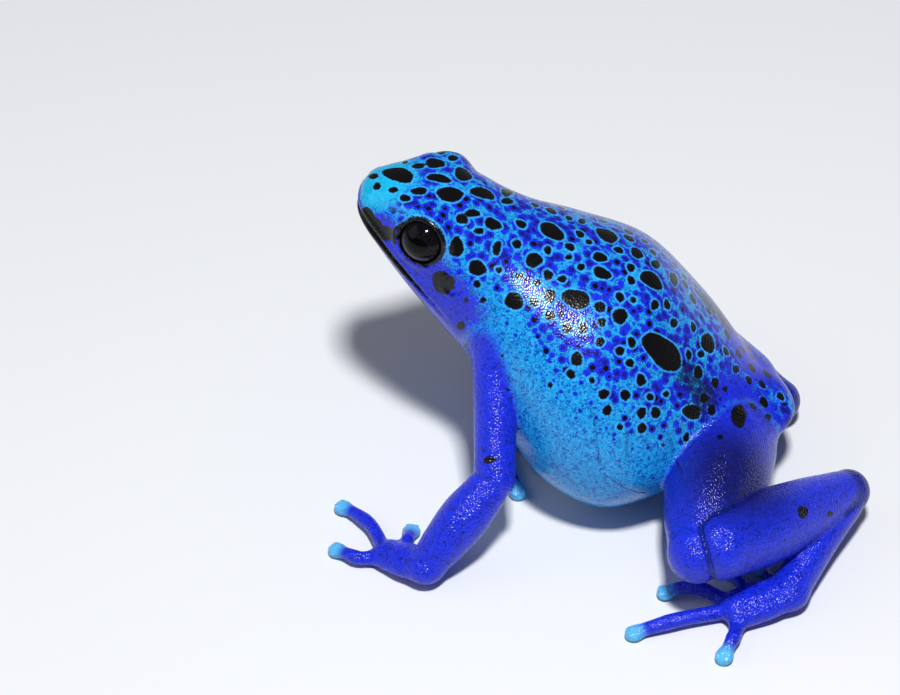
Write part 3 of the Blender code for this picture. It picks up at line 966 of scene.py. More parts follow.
@dataclass(frozen=True)
class Spot:
    """A black spot on the surface: its middle, two axes along the skin and its outline.

    Each wobble of the outline gives how many waves run round it and how high they are.
    """

    middle: np.ndarray
    normal: np.ndarray
    long_way: np.ndarray
    short_way: np.ndarray
    long: float
    short: float
    phases: tuple[float, float, float]
    wobbles: tuple[tuple[int, float], ...] = ((2, 0.06), (3, 0.05), (5, 0.025))
    margin: float = 1.2
    same_side: float = 0.1
    off_middle: float = 1e-3

    def edge(self, points: np.ndarray, normals: np.ndarray) -> Pair:
        """Distances from the spot's edge, negative inside.

        Args:
            points: Points of the skin.
            normals: Their outward directions.

        Returns:
            Which points are near, and the distances of those.
        """
        away = points - self.middle
        close = (away * away).sum(axis=1) < (self.long + self.margin) ** 2
        close &= normals @ self.normal > self.same_side
        away = away[close]
        across, along = away @ self.long_way, away @ self.short_way
        angle = np.arctan2(along / self.short, across / self.long)
        wobble = np.ones_like(angle)
        for (waves, height), phase in zip(self.wobbles, self.phases):
            wobble += height * np.sin(waves * angle + phase)
        flat = np.stack([across + self.off_middle, along, np.zeros_like(along)], axis=1)
        flat *= wobble[:, None]
        return close, ellipsoid(flat, (self.long, self.short, 1.0))


SpotRow = tuple[float, float, float, float, float]
Patch = tuple[float, float, float]
Span = tuple[float, float]


@dataclass(frozen=True)
class Scatter:
    """How seeded spots are strewn over the side that the camera sees, or over the other one."""

    seen: bool
    tries: int
    least_lift: float
    least_size: float
    more_size: float
    gap: float


SEEN_SIDE = Scatter(True, 2600, 0.52, 0.42, 0.14, 0.3)
HIDDEN_SIDE = Scatter(False, 9000, -0.45, 0.36, 0.85, 0.45)


@dataclass
class Pattern:
    """Where the skin is black, azure, royal, sooty or pale, and where shade is painted on it.

    Spots are rows of the middle's pixel across and down in the photograph, width and height in
    pixels, and how far the spot is turned there in degrees.
    """

    camera: PhotoCamera
    form: FrogForm
    seed: int = 7
    squash: float = 2.2
    head_spots: tuple[SpotRow, ...] = (
        (398, 174, 31, 15, 8), (435, 163, 21, 10, 5), (418, 166, 13, 6, 0), (405, 162, 6, 4, 0),
        (441, 152, 8, 5, 0), (453, 158, 10, 7, 0), (439, 178, 24, 9, 8), (463, 174, 17, 13, 20),
        (450, 194, 27, 15, 10), (419, 191, 16, 8, 0), (405, 198, 12, 7, 0), (393, 190, 11, 6, 0),
        (377, 186, 8, 8, 0), (373, 176, 11, 6, 0), (491, 177, 15, 9, 20), (483, 193, 24, 11, 15),
        (507, 192, 13, 8, 10), (507, 201, 12, 7, 0), (473, 213, 15, 8, 0), (493, 224, 18, 11, 15),
        (462, 219, 13, 10, 0), (479, 231, 10, 7, 0), (397, 234, 11, 12, 0), (456, 247, 14, 20, 0),
        (443, 283, 20, 24, 20), (461, 326, 9, 9, 0), (466, 300, 5, 5, 0), (477, 268, 17, 16, 0),
        (477, 284, 8, 8, 0), (483, 300, 7, 7, 0),
    )
    back_spots: tuple[SpotRow, ...] = (
        (521, 224, 12, 8, 20), (552, 231, 26, 15, 35), (582, 221, 8, 6, 20), (569, 218, 8, 5, 10),
        (580, 234, 10, 7, 20), (589, 242, 8, 6, 20), (607, 235, 24, 12, 30), (570, 247, 11, 8, 20),
        (600, 257, 15, 10, 20), (569, 257, 8, 6, 0), (602, 273, 20, 11, 30), (581, 267, 9, 7, 0),
        (534, 260, 16, 16, 0), (517, 244, 10, 9, 0), (497, 248, 8, 16, 10), (499, 270, 7, 7, 0),
        (519, 276, 8, 8, 0), (537, 283, 8, 8, 0), (562, 279, 9, 8, 0), (514, 301, 19, 17, 0),
        (534, 302, 10, 9, 0), (550, 296, 11, 15, 0), (576, 299, 27, 20, 15), (600, 307, 12, 11, 0),
        (620, 316, 16, 15, 0), (602, 322, 9, 9, 0), (600, 342, 9, 10, 0), (620, 351, 9, 10, 0),
        (630, 363, 9, 9, 0), (641, 380, 10, 13, 0), (663, 352, 46, 27, 47), (692, 412, 19, 15, 25),
        (739, 416, 16, 24, 0), (652, 280, 27, 14, 40), (656, 264, 10, 9, 0), (637, 253, 14, 10, 30),
        (674, 279, 8, 15, -20), (708, 343, 14, 21, -25), (701, 354, 8, 8, 0), (674, 323, 8, 10, 0),
        (655, 305, 9, 10, 0), (633, 300, 7, 7, 0), (650, 397, 8, 8, 0), (666, 394, 7, 7, 0),
        (592, 380, 7, 7, 0), (620, 427, 7, 7, 0), (550, 385, 6, 6, 0), (663, 445, 5, 5, 0),
        (720, 437, 7, 6, 0), (736, 369, 8, 8, 0), (725, 389, 6, 6, 0), (768, 417, 7, 7, 0),
    )
    limb_spots: tuple[SpotRow, ...] = (
        (489, 460, 12, 8, -10), (465, 346, 5, 6, 0), (503, 356, 4, 4, 0), (803, 512, 12, 12, 0),
        (830, 514, 8, 6, -20), (508, 390, 5, 4, 0),
    )
    loreal_band: tuple[Pixel, ...] = ((365, 210), (371, 220), (380, 231), (394, 235))
    band_width: float = 13.0
    soot_patches: tuple[Patch, ...] = ((690, 377, 2.6), (704, 396, 3.0), (722, 424, 2.4))
    hip_patch: Patch = (748, 414, 7.4)
    # Where painted shade darkens each thigh: its middle pixel and its radius in mm.
    thigh_shade_patch: Patch = (736, 474, 8.4)
    # Fine creases on the flank, drawn as thin lines of painted shade.
    crease_lines: tuple[tuple[Pixel, ...], ...] = (
        ((668, 432), (672, 448), (676, 462), (682, 474)),
        ((592, 412), (596, 428), (597, 448), (600, 462)),
        ((611, 478), (622, 486), (636, 491), (648, 492)),
        ((552, 462), (562, 474), (574, 482)),
        ((627, 431), (628, 446), (626, 460)),
    )
    spots_above: float = 2.5
    limb_skip: float = 0.93
    trunk_reach: float = 0.6
    rise_unit: float = 9.0
    off_skin: float = 0.3
    to_camera: float = 0.2
    least_facing: float = -0.02
    size_power: float = 2.2
    size_low: float = 0.45
    size_growth: float = 0.75
    size_by_lift: float = 1.6
    roundness: Span = (0.78, 1.0)
    limb_blend: Span = (-0.9, 0.5)
    head_span: Span = (5.2, 7.4)
    snout_middle: Point = (0.5, 0.0, 0.8)
    snout_span: Span = (2.6, 5.6)
    snout_lift: Span = (-0.5, 0.2)
    snout_share: float = 0.9
    cheek_lift: Span = (0.0, 0.62)
    cheek_snout_lift: Span = (-0.4, 0.0)
    back_lift: Span = (0.1, 0.66)
    mouth_span: Span = (7.6, 8.4)
    lip_span: Span = (7.8, 9.8)
    # The lip's black edge; near the snout it widens into painted shade below the mouth.
    lip_width: float = 0.12
    lip_shade_widening: float = 0.48
    lip_rise: float = 0.4
    lid_black: float = 0.36
    disc_span: Span = (0.7, 1.7)
    hip_softness: float = 0.75
    softness: float = 0.8

    def prepare(self, points: np.ndarray, faces: np.ndarray, normals: np.ndarray) -> None:
        """Keeps the skin's mesh at hand, so that pixels can be cast onto it."""
        self.points, self.normals = points, normals
        self.tree = BVHTree.FromPolygons(points.tolist(), faces.tolist())
        self.chance = np.random.default_rng(self.seed)

    def cast(self, pixel: Pixel) -> Pair | None:
        """The point and normal of the skin at a pixel, or None beside the frog."""
        start, way = self.camera.ray(pixel)
        place, normal, _, _ = self.tree.ray_cast(Vector(start), Vector(way))
        return None if place is None else (np.array(place), np.array(normal))

    def spot_on(
        self, place: np.ndarray, normal: np.ndarray, outline: np.ndarray, ways: np.ndarray
    ) -> Spot:
        """A spot that has a given outline when seen along its own or the camera's direction.

        Args:
            place: Its middle.
            normal: The skin's direction there.
            outline: The ellipse's 2 by 2 matrix in the plane that it is drawn in.
            ways: The two directions of that plane.

        Returns:
            The spot.
        """
        first = ways[0] - normal * (ways[0] @ normal)
        first /= np.linalg.norm(first)
        second = np.cross(normal, first)
        seen = np.array([[ways[i] @ first, ways[i] @ second] for i in (0, 1)])
        sizes, turns = np.linalg.eigh(seen.T @ outline @ seen)
        long, short = 1.0 / math.sqrt(max(sizes[0], 1e-3)), 1.0 / math.sqrt(sizes[1])
        basis = np.stack([first, second])
        phases = tuple(self.chance.uniform(0.0, 2 * math.pi, 3))
        long = min(long, short * self.squash)
        return Spot(place, normal, turns[:, 0] @ basis, turns[:, 1] @ basis, long, short, phases)

    def seen_spot(self, row: SpotRow) -> Spot | None:
        """The spot that looks as this row says from the camera."""
        hit = self.cast(row[:2])
        if hit is None:
            return None
        half = np.array(row[2:4]) / 2 / self.camera.pixels_per_mm
        turn = -math.radians(row[4])
        rotation = np.array([[math.cos(turn), -math.sin(turn)], [math.sin(turn), math.cos(turn)]])
        outline = rotation @ np.diag(1.0 / half**2) @ rotation.T
        right, up, _ = self.camera.axes()
        return self.spot_on(hit[0], hit[1], outline, np.stack([right, up]))

    def band(self) -> list[Spot]:
        """Overlapping spots that make the black band in front of the eye."""
        made = []
        for (x0, y0), (x1, y1) in zip(self.loreal_band, self.loreal_band[1:]):
            length = math.hypot(x1 - x0, y1 - y0)
            turn = math.degrees(math.atan2(y1 - y0, x1 - x0))
            row = ((x0 + x1) / 2, (y0 + y1) / 2, length * 1.5, self.band_width, turn)
            made.append(self.seen_spot(row))
        return [spot for spot in made if spot]

    def visible(self, index: int) -> bool:
        """Whether the camera sees a point of the skin."""
        place, normal, back = self.points[index], self.normals[index], self.camera.axes()[2]
        start = Vector(place + normal * self.off_skin + back * self.to_camera)
        hidden = self.tree.ray_cast(start, Vector(back))[0] is not None
        return bool(normal @ back > self.least_facing) and not hidden

    def more_spots(self, taken: list[Spot], scatter: Scatter) -> list[Spot]:
        """Seeded spots: small ones between those named, or all sizes where the camera doesn't look.

        Args:
            taken: The spots that are there already.
            scatter: Where they go and how large they are.

        Returns:
            The new spots.
        """
        made: list[Spot] = []
        reading = self.form.trunk.read(self.points)
        on_trunk = np.abs(reading.distance) < self.trunk_reach
        lift = reading.rise / self.rise_unit
        for index in self.chance.integers(0, len(self.points), scatter.tries):
            place, normal = self.points[index], self.normals[index]
            if self.visible(index) != scatter.seen:
                continue
            if not on_trunk[index] and (scatter.seen or self.chance.random() < self.limb_skip):
                continue
            if place[2] < self.spots_above or lift[index] < scatter.least_lift:
                continue
            size = scatter.least_size + scatter.more_size * self.chance.random() ** self.size_power
            high = max(min(lift[index] * self.size_by_lift, 1.0), 0.0)
            size *= self.size_low + self.size_growth * high
            apart = size + scatter.gap
            if any(np.linalg.norm(s.middle - place) < s.long + apart for s in taken + made):
                continue
            stretch = self.chance.uniform(*self.roundness)
            outline = np.diag([1.0 / size**2, 1.0 / (size * stretch) ** 2])
            helper = np.array((1.0, 0.0, 0.0) if abs(normal[0]) < 0.8 else (0.0, 1.0, 0.0))
            across = np.cross(normal, helper)
            across /= np.linalg.norm(across)
            ways = np.stack([across, np.cross(normal, across)])
            made.append(self.spot_on(place, normal, outline, ways))
        return made

    def spot_edges(self) -> np.ndarray:
        """Each point's distance from the nearest spot's edge."""
        rows = self.head_spots + self.back_spots + self.limb_spots
        spots = [spot for spot in map(self.seen_spot, rows) if spot] + self.band()
        spots += self.more_spots(spots, HIDDEN_SIDE)
        spots += self.more_spots(spots, SEEN_SIDE)
        LOG.info("spots: %d", len(spots))
        edges = np.full(len(self.points), 2.0)
        for spot in spots:
            close, found = spot.edge(self.points, self.normals)
            edges[close] = np.minimum(edges[close], found)
        return edges

    def patch(self, spot: Patch, softness: float) -> np.ndarray:
        """A soft round patch about a pixel, and its mirror image on the other side."""
        middle, _ = self.cast(spot[:2])
        mirrored = middle * np.array([1.0, -1.0, 1.0])
        away = np.minimum(length_of(self.points - middle), length_of(self.points - mirrored))
        return 1.0 - ramp(away, spot[2] * (1.0 - softness), spot[2])

    def creases(self) -> np.ndarray:
        """Each point's distance from the nearest fine crease, where painted shade is drawn."""
        away = np.full(len(self.points), 2.0)
        for line in self.crease_lines:
            hits = [self.cast(pixel) for pixel in line]
            path = [hit[0] for hit in hits if hit]
            for start, end in zip(path, path[1:]):
                away = np.minimum(away, length_of(from_line(self.points, start, end)[1]))
        return away

    def zones(self) -> dict[Zone, np.ndarray]:
        """All that the skin's points say about its colour."""
        points = self.points
        reading = self.form.trunk.read(points)
        trunk = self.form.head.shape(points, np.clip(reading.distance, -FAR, FAR), reading)
        limbs = np.min([limb.distance(points) for limb in self.form.limbs], axis=0)
        on_limb = ramp(trunk - limbs, *self.limb_blend)
        on_trunk = 1.0 - on_limb
        lift = reading.rise / np.maximum(np.hypot(reading.rise, reading.side), 0.1)
        hip = self.patch(self.hip_patch, self.hip_softness)
        soot = np.max([self.patch(patch, self.softness) for patch in self.soot_patches], axis=0)
        local = self.form.head.local(points)
        snout = 1.0 - ramp(length_of(local - self.snout_middle), *self.snout_span)
        cheek = ramp(reading.place, *self.head_span) * (1.0 - ramp(lift, *self.cheek_lift))
        cheek *= 1.0 - self.snout_share * snout * ramp(lift, *self.cheek_snout_lift)
        dorsal = ramp(lift, *self.back_lift) * on_trunk * (1.0 - self.snout_share * snout)
        mouth = ramp(reading.place, *self.mouth_span) * on_trunk
        # A real black lip edge, widened near the snout into painted shade below the mouth line.
        lip_width = self.lip_width + self.lip_shade_widening * ramp(reading.place, *self.lip_span)
        lip = np.abs(reading.lip + self.lip_rise * lip_width) - lip_width
        edges = self.spot_edges()
        edges = np.where(mouth > 0.5, np.minimum(edges, lip), edges)
        edges = np.minimum(edges, self.form.head.rim_distance(points) - self.lid_black)
        tips = [digit.centres()[-1] for limb in self.form.limbs for digit in limb.digits]
        discs = np.min([length_of(points - tip) for tip in tips], axis=0)
        seams = [limb.seam(points) for limb in self.form.limbs]
        return {
            Zone.SPOT_EDGE: edges,
            Zone.AZURE: on_trunk,
            Zone.DORSAL: dorsal,
            Zone.VIOLET: np.maximum(hip, cheek) * on_trunk,
            Zone.SOOT: soot * on_trunk,
            Zone.PALE: 1.0 - ramp(discs, *self.disc_span),
            # Painted shade on the thighs.
            Zone.DUSK: self.patch(self.thigh_shade_patch, self.softness) * on_limb,
            # Painted shade in creases and joint folds.
            Zone.CREASE: np.min([self.creases(), *seams], axis=0),
            Zone.SNOUT: snout * ramp(lift, *self.snout_lift),
        }


@dataclass(frozen=True)
class Wire:
    """What runs out of a node, so that sums can be written as Python."""

    paint: "Paint"
    socket: bpy.types.NodeSocket

    def __add__(self, other: "Wire | float") -> "Wire":
        """The sum."""
        return self.paint.maths("ADD", self, other)

    def __radd__(self, other: float) -> "Wire":
        """The sum, from the right."""
        return self.paint.maths("ADD", other, self)

    def __sub__(self, other: "Wire | float") -> "Wire":
        """The difference."""
        return self.paint.maths("SUBTRACT", self, other)

    def __rsub__(self, other: float) -> "Wire":
        """The difference, from the right."""
        return self.paint.maths("SUBTRACT", other, self)

    def __mul__(self, other: "Wire | float") -> "Wire":
        """The product."""
        return self.paint.maths("MULTIPLY", self, other)

    def __rmul__(self, other: float) -> "Wire":
        """The product, from the right."""
        return self.paint.maths("MULTIPLY", other, self)

    def step(self, low: float, high: float) -> "Wire":
        """A smooth step from 0 at low to 1 at high."""
        values = {0: self, 1: low, 2: high, 3: 0.0, 4: 1.0}
        if low > high:
            values.update({1: high, 2: low, 3: 1.0, 4: 0.0})
        return self.paint.node("ShaderNodeMapRange", {"interpolation_type": "SMOOTHSTEP"}, values)


class Paint:
    """One material, built node by node."""

    def __init__(self, name: str) -> None:
        """Starts a material with the usual surface shader."""
        self.material = bpy.data.materials.new(name)
        self.material.use_nodes = True
        self.tree = self.material.node_tree
        self.shader = self.tree.nodes["Principled BSDF"]

    def node(
        self,
        kind: str,
        settings: dict[str, object],
        values: dict[int | str, object],
        out: int | str = 0,
    ) -> Wire:
        """Adds any node.

        Args:
            kind: The node's type.
            settings: Its own settings, which are made first.
            values: The values or wires of its sockets.
            out: Which of its outputs is wanted.

        Returns:
            That output.
        """
        made = self.tree.nodes.new(kind)
        for name, setting in settings.items():
            setattr(made, name, setting)
        for key, value in values.items():
            self.set(made.inputs[key], value)
        return Wire(self, made.outputs[out])

    def set(self, socket: bpy.types.NodeSocket, value: object) -> None:
        """Links a wire to a socket, or sets its value."""
        if isinstance(value, Wire):
            self.tree.links.new(value.socket, socket)
        else:
            socket.default_value = value

    def maths(self, operation: str, first: "Wire | float", second: "Wire | float") -> Wire:
        """A sum of two values."""
        return self.node("ShaderNodeMath", {"operation": operation}, {0: first, 1: second})

    def attribute(self, name: str) -> Wire:
        """A number that the mesh's points carry."""
        return self.node("ShaderNodeAttribute", {"attribute_name": name}, {}, "Fac")

    def mix(self, first: object, second: object, share: "Wire | float") -> Wire:
        """A colour between two colours."""
        return self.node("ShaderNodeMix", {"data_type": "RGBA"}, {0: share, 6: first, 7: second}, 2)

    def place(self) -> Wire:
        """The point's own place, in metres."""
        return self.node("ShaderNodeTexCoord", {}, {}, "Object")

    def cells(self, size: float, out: str = "Distance", seed: float = 0.0) -> Wire:
        """Cells of a size in mm.

        Args:
            size: The cells' size.
            out: Distance from each cell's middle, or Color for one value a cell.
            seed: Shifts the cells, so that two layers differ.

        Returns:
            The wanted output.
        """
        where = self.node(
            "ShaderNodeVectorMath", {"operation": "ADD"}, {0: self.place(), 1: (seed * MM,) * 3}
        )
        values = {"Vector": where, "Scale": 1.0 / (size * MM), "Randomness": 0.9}
        return self.node("ShaderNodeTexVoronoi", {}, values, out)

    def noise(self, size: float, detail: float = 2.0) -> Wire:
        """Cloudy noise whose grains have a size in mm."""
        values = {"Vector": self.place(), "Scale": 1.0 / (size * MM), "Detail": detail}
        return self.node("ShaderNodeTexNoise", {"normalize": True}, values)

    def bump(self, height: Wire, depth: float) -> Wire:
        """A normal that shows a height of so many mm."""
        values = {"Height": height, "Distance": depth * MM, "Strength": 1.0}
        return self.node("ShaderNodeBump", {}, values)

    def finish(self, **values: object) -> bpy.types.Material:
        """Sets the shader's sockets, named with _ for a space, and returns the material."""
        for name, value in values.items():
            self.set(self.shader.inputs[name.replace("_", " ")], value)
        return self.material


def colour(red: int, green: int, blue: int) -> Colour:
    """A screen colour of 0 to 255 as the light that it stands for."""
    shares = [c / 255 for c in (red, green, blue)]
    light = [s / 12.92 if s <= 0.04045 else ((s + 0.055) / 1.055) ** 2.4 for s in shares]
    return (*light, 1.0)


@dataclass(frozen=True)
class Grains:
    """The fine patterns that the skin's colours share.

    granule and tone are cells, fine is noise about 0.5, blotch and cloud are noise about 0, and
    grain is the mixture that most colours follow.
    """

    granule: Wire
    tone: Wire
    fine: Wire
    blotch: Wire
    cloud: Wire
    grain: Wire


Zones = dict[Zone, Wire]


@dataclass(frozen=True)
class SkinFinish:
    """The frog's moist skin: azure flanks, a violet back under an azure net, and royal limbs."""

    azure: Colour = colour(24, 148, 216)
    cyan: Colour = colour(16, 184, 222)
    azure_deep: Colour = colour(12, 70, 170)
    net: Colour = colour(58, 180, 252)
    violet: Colour = colour(24, 44, 220)
    violet_deep: Colour = colour(12, 16, 104)
    royal: Colour = colour(24, 46, 218)
    royal_deep: Colour = colour(14, 20, 108)
    soot: Colour = colour(10, 11, 44)
    black: Colour = colour(5, 5, 7)
    tip: Colour = colour(96, 200, 246)
    # Painted shade in creases and joint folds.
    crease: Colour = colour(6, 22, 84)
    # Painted shade over each thigh.
    thigh_shade: Colour = colour(12, 15, 76)
    ghost_size: float = 0.85
    ghost_seed: float = 7.7
    granule_size: float = 0.21
    granule_depth: float = 0.075
    fine_size: float = 0.13
    mottle_size: float = 0.42
    cloud_size: float = 2.4
    halo: float = 0.22
    trunk_smoothness: float = 0.72
    specular: float = 0.36

    def grains(self, paint: Paint) -> Grains:
        """The fine patterns, in the sizes of this finish."""
        tone, fine = paint.cells(self.granule_size, "Color"), paint.noise(self.fine_size, 3.0)
        return Grains(
            granule=paint.cells(self.granule_size),
            tone=tone,
            fine=fine,
            blotch=paint.noise(self.mottle_size, 3.0) - 0.5,
            cloud=paint.noise(self.cloud_size, 2.0) - 0.5,
            grain=0.55 * tone + 0.45 * fine.step(0.3, 0.7),
        )

    def trunk(self, paint: Paint, zones: Zones, grains: Grains) -> Wire:
        """The trunk's colour: azure flanks, a violet back under an azure net, and violet cheeks.

        Args:
            paint: The material.
            zones: The skin's attributes.
            grains: Its fine patterns.

        Returns:
            The colour.
        """
        grain, blotch, fine = grains.grain, grains.blotch, grains.fine
        dorsal, violet, spot_edge = zones[Zone.DORSAL], zones[Zone.VIOLET], zones[Zone.SPOT_EDGE]
        flank = paint.mix(self.azure_deep, self.azure, (grain + 1.1 * blotch).step(0.16, 0.56))
        flank = paint.mix(flank, self.net, grain.step(0.58, 0.9) * 0.8)
        ground = paint.mix(self.violet_deep, self.violet, (grain + blotch).step(0.1, 0.55))
        ghost = paint.cells(self.ghost_size, seed=self.ghost_seed)
        chosen = paint.cells(self.ghost_size, "Color", self.ghost_seed)
        reach = 0.12 + 0.5 * dorsal + 0.5 * grains.cloud + 0.4 * blotch
        back = paint.mix(flank, ground, (reach - ghost).step(-0.04, 0.1))
        back = paint.mix(back, self.violet_deep, (0.55 * reach - ghost).step(-0.05, 0.08) * 0.8)
        dot = 0.34 * dorsal.step(0.2, 0.7) * chosen.step(0.42, 0.7) + 0.12 * (fine - 0.5)
        dot = (dot - ghost).step(0.0, 0.05)
        back = paint.mix(back, self.black, dot * spot_edge.step(0.1, 0.2))
        back = paint.mix(back, self.cyan, zones[Zone.SNOUT] * (0.45 + 0.6 * grain))
        ring = (spot_edge + 0.12 * (fine - 0.5)).step(self.halo, self.halo * 0.45)
        back = paint.mix(back, self.net, ring * (0.1 + 0.5 * grain + 0.25 * dorsal))
        dark_side = paint.mix(ground, self.royal, grain.step(0.5, 0.8) * 0.4)
        share = (violet + 1.1 * blotch + 0.5 * (grains.tone - 0.5)).step(0.3, 0.7)
        return paint.mix(back, dark_side, share * violet.step(0.02, 0.2))

    def limbs(self, paint: Paint, zones: Zones, grains: Grains) -> Wire:
        """The limbs' royal blue, with a patch of painted shade on each thigh."""
        shade = (grains.grain + 0.8 * grains.blotch).step(0.0, 0.6)
        limb = paint.mix(self.royal_deep, self.royal, shade)
        # Painted shade over each thigh.
        return paint.mix(limb, self.thigh_shade, zones[Zone.DUSK] * (0.9 + 0.6 * grains.blotch))

    def marks(self, paint: Paint, zones: Zones, grains: Grains, skin: Wire) -> Wire:
        """Adds soot, painted shade along creases, pale discs and black spots.

        Args:
            paint: The material.
            zones: The skin's attributes.
            grains: Its fine patterns.
            skin: The colour below.

        Returns:
            The colour with its marks.
        """
        tone, soot = grains.tone - 0.5, zones[Zone.SOOT]
        stipple = (0.7 * soot + 0.9 * grains.blotch + 0.8 * tone).step(0.32, 0.55)
        skin = paint.mix(skin, self.soot, stipple * soot.step(0.02, 0.3) * 0.85)
        # Painted shade along creases and joint folds, lighter on the trunk.
        crease = zones[Zone.CREASE].step(0.24, 0.08) * (0.65 - 0.33 * zones[Zone.AZURE])
        skin = paint.mix(skin, self.crease, crease)
        skin = paint.mix(skin, self.tip, zones[Zone.PALE] * (0.6 + 0.4 * grains.grain))
        # Black spots and lip edge, with the painted shade below the mouth near the snout.
        black = zones[Zone.SPOT_EDGE] + 0.16 * (grains.fine - 0.5) + 0.08 * tone
        return paint.mix(skin, self.black, black.step(0.05, -0.07))

    def make(self) -> bpy.types.Material:
        """Builds the material."""
        paint = Paint("frog_skin")
        zones = {zone: paint.attribute(zone.value) for zone in Zone}
        grains, azure = self.grains(paint), zones[Zone.AZURE]
        limb = self.limbs(paint, zones, grains)
        skin = paint.mix(limb, self.trunk(paint, zones, grains), azure)
        crease = zones[Zone.CREASE].step(0.2, 0.0)
        height = (1.0 - grains.granule) + 0.35 * grains.fine - 1.5 * crease
        height = height * (1.0 - self.trunk_smoothness * azure)
        return paint.finish(
            Base_Color=self.marks(paint, zones, grains, skin),
            Roughness=0.1 + 0.13 * grains.fine + 0.04 * azure,
            Normal=paint.bump(height, self.granule_depth),
            Specular_IOR_Level=self.specular,
        )


@dataclass(frozen=True)
class EyeFinish:
    """The wet eye: a level oval pupil in a nearly black iris."""

    pupil: Colour = colour(2, 2, 3)
    iris: Colour = colour(8, 8, 12)
    fleck: Colour = colour(34, 28, 26)
    outer: Colour = colour(10, 12, 22)

    def make(self) -> bpy.types.Material:
        """Builds the material."""
        paint = Paint("wet_eye")
        from_pupil = paint.attribute("from_pupil")
        flecks = paint.noise(0.18, 4.0).step(0.52, 0.7)
        iris = paint.mix(self.iris, self.fleck, flecks * from_pupil.step(0.9, 0.1))
        iris = paint.mix(iris, self.outer, from_pupil.step(0.75, 1.3))
        base = paint.mix(self.pupil, iris, from_pupil.step(-0.02, 0.06))
        return paint.finish(
            Base_Color=base,
            Roughness=0.07 + 0.1 * flecks,
            Specular_IOR_Level=0.1,
            Coat_Weight=0.08,
            Coat_Roughness=0.02,
        )


@dataclass(frozen=True)
class ScuteFinish:
    """The pale paired scutes on the discs."""

    base: Colour = colour(110, 205, 245)
    shade: Colour = colour(60, 140, 225)

    def make(self) -> bpy.types.Material:
        """Builds the material."""
        paint = Paint("disc_scute")
        grains = paint.noise(0.15, 3.0)
        return paint.finish(
            Base_Color=paint.mix(self.base, self.shade, grains.step(0.45, 0.65)),
            Roughness=0.3 + 0.15 * grains,
            Normal=paint.bump(grains, 0.01),
            Coat_Weight=0.3,
            Coat_Roughness=0.15,
        )


@dataclass(frozen=True)
class FloorFinish:
    """Pale matt paper."""

    base: Colour = colour(226, 228, 230)

    def make(self) -> bpy.types.Material:
        """Builds the material."""
        paint = Paint("floor_paper")
        return paint.finish(Base_Color=self.base, Roughness=0.9, Specular_IOR_Level=0.2)


def mesh_piece(name: str, points: np.ndarray, faces: Sequence[Sequence[int]]) -> bpy.types.Object:
    """A smooth-shaded piece in the scene.

    Args:
        name: The piece's name.
        points: Its points, in the modelling axes.
        faces: Its faces.

    Returns:
        The piece, with its place in its mesh.
    """
    mesh = bpy.data.meshes.new(name)
    mesh.from_pydata(to_frame(points).tolist(), [], [list(map(int, face)) for face in faces])
    mesh.shade_smooth()
    piece = bpy.data.objects.new(name, mesh)
    bpy.context.scene.collection.objects.link(piece)
    return piece


def mark(piece: bpy.types.Object, name: str, values: np.ndarray) -> None:
    """Gives each point of a piece a number of that name."""
    layer = piece.data.attributes.new(name, "FLOAT", "POINT")
    layer.data.foreach_set("value", np.asarray(values, np.float32))


@dataclass
class FrogSkin:
    """The one unbroken skin."""

    form: FrogForm
    mesher: SkinMesher
    camera: PhotoCamera
    finish: SkinFinish = SkinFinish()

    def nodes(self) -> list[str]:
        """The names of all the solids that the skin stands for."""
        return sorted(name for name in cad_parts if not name.startswith("eye_"))

    def build(self) -> bpy.types.Object:
        """Builds the skin and puts it in place of the solids of flesh."""
        points, faces, normals = self.mesher.build(self.form)
        LOG.info("skin: %d points, %d triangles", len(points), 2 * len(faces))
        piece = mesh_piece("frog_skin", points, faces)
        pattern = Pattern(self.camera, self.form)
        pattern.prepare(points, faces, normals)
        for zone, values in pattern.zones().items():
            mark(piece, zone.value, values)
        piece.data.materials.append(self.finish.make())
        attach(piece, "root")
        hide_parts(*self.nodes())
        return piece


@dataclass(frozen=True)
class Eye:
    """One eyeball with its swollen cornea."""

    head: Head
    side: int
    name: str
    rows: int = 40
    columns: int = 64
    cornea: float = 0.05
    cornea_spread: float = 0.75
    behind: float = 3.0
    pupil_radii: tuple[float, float] = (0.95, 0.7)

    def build(self, material: bpy.types.Material) -> bpy.types.Object:
        """Builds the eyeball in place of its solid.

        Args:
            material: Its finish.

        Returns:
            The piece.
        """
        look = self.head.look(self.side)
        level = np.cross((0.0, 0.0, 1.0), look)
        level /= np.linalg.norm(level)
        axes = np.stack([level, np.cross(look, level), look])
        radius = self.head.eye_radius
        points, faces = [np.array([0.0, 0.0, 1.0 + self.cornea])], []
        for row in range(1, self.rows):
            angle = math.pi * row / self.rows
            bulge = 1.0 + self.cornea * math.exp(-((angle / self.cornea_spread) ** 2))
            wide, high = math.sin(angle), math.cos(angle)
            for column in range(self.columns):
                turn = 2 * math.pi * column / self.columns
                ring = (wide * math.cos(turn), wide * math.sin(turn), high)
                points.append(np.array(ring) * bulge)
        points.append(np.array([0.0, 0.0, -1.0]))
        last = len(points) - 1
        for column in range(self.columns):
            beside = (column + 1) % self.columns
            faces.append((0, 1 + column, 1 + beside))
            for row in range(self.rows - 2):
                start = 1 + row * self.columns
                below = start + self.columns
                faces.append((start + column, below + column, below + beside, start + beside))
            start = 1 + (self.rows - 2) * self.columns
            faces.append((last, start + beside, start + column))
        local = np.array(points) * radius
        middle = self.head.place(self.head.eye, self.side)
        piece = mesh_piece(self.name, middle + local @ axes, faces)
        oval = np.hypot(local[:, 0] / self.pupil_radii[0], local[:, 1] / self.pupil_radii[1])
        front = np.where(local[:, 2] > 0.0, oval - 1.0, self.behind)
        mark(piece, "from_pupil", front * min(self.pupil_radii))
        piece.data.materials.append(material)
        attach(piece, "root")
        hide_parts(self.name)
        return piece


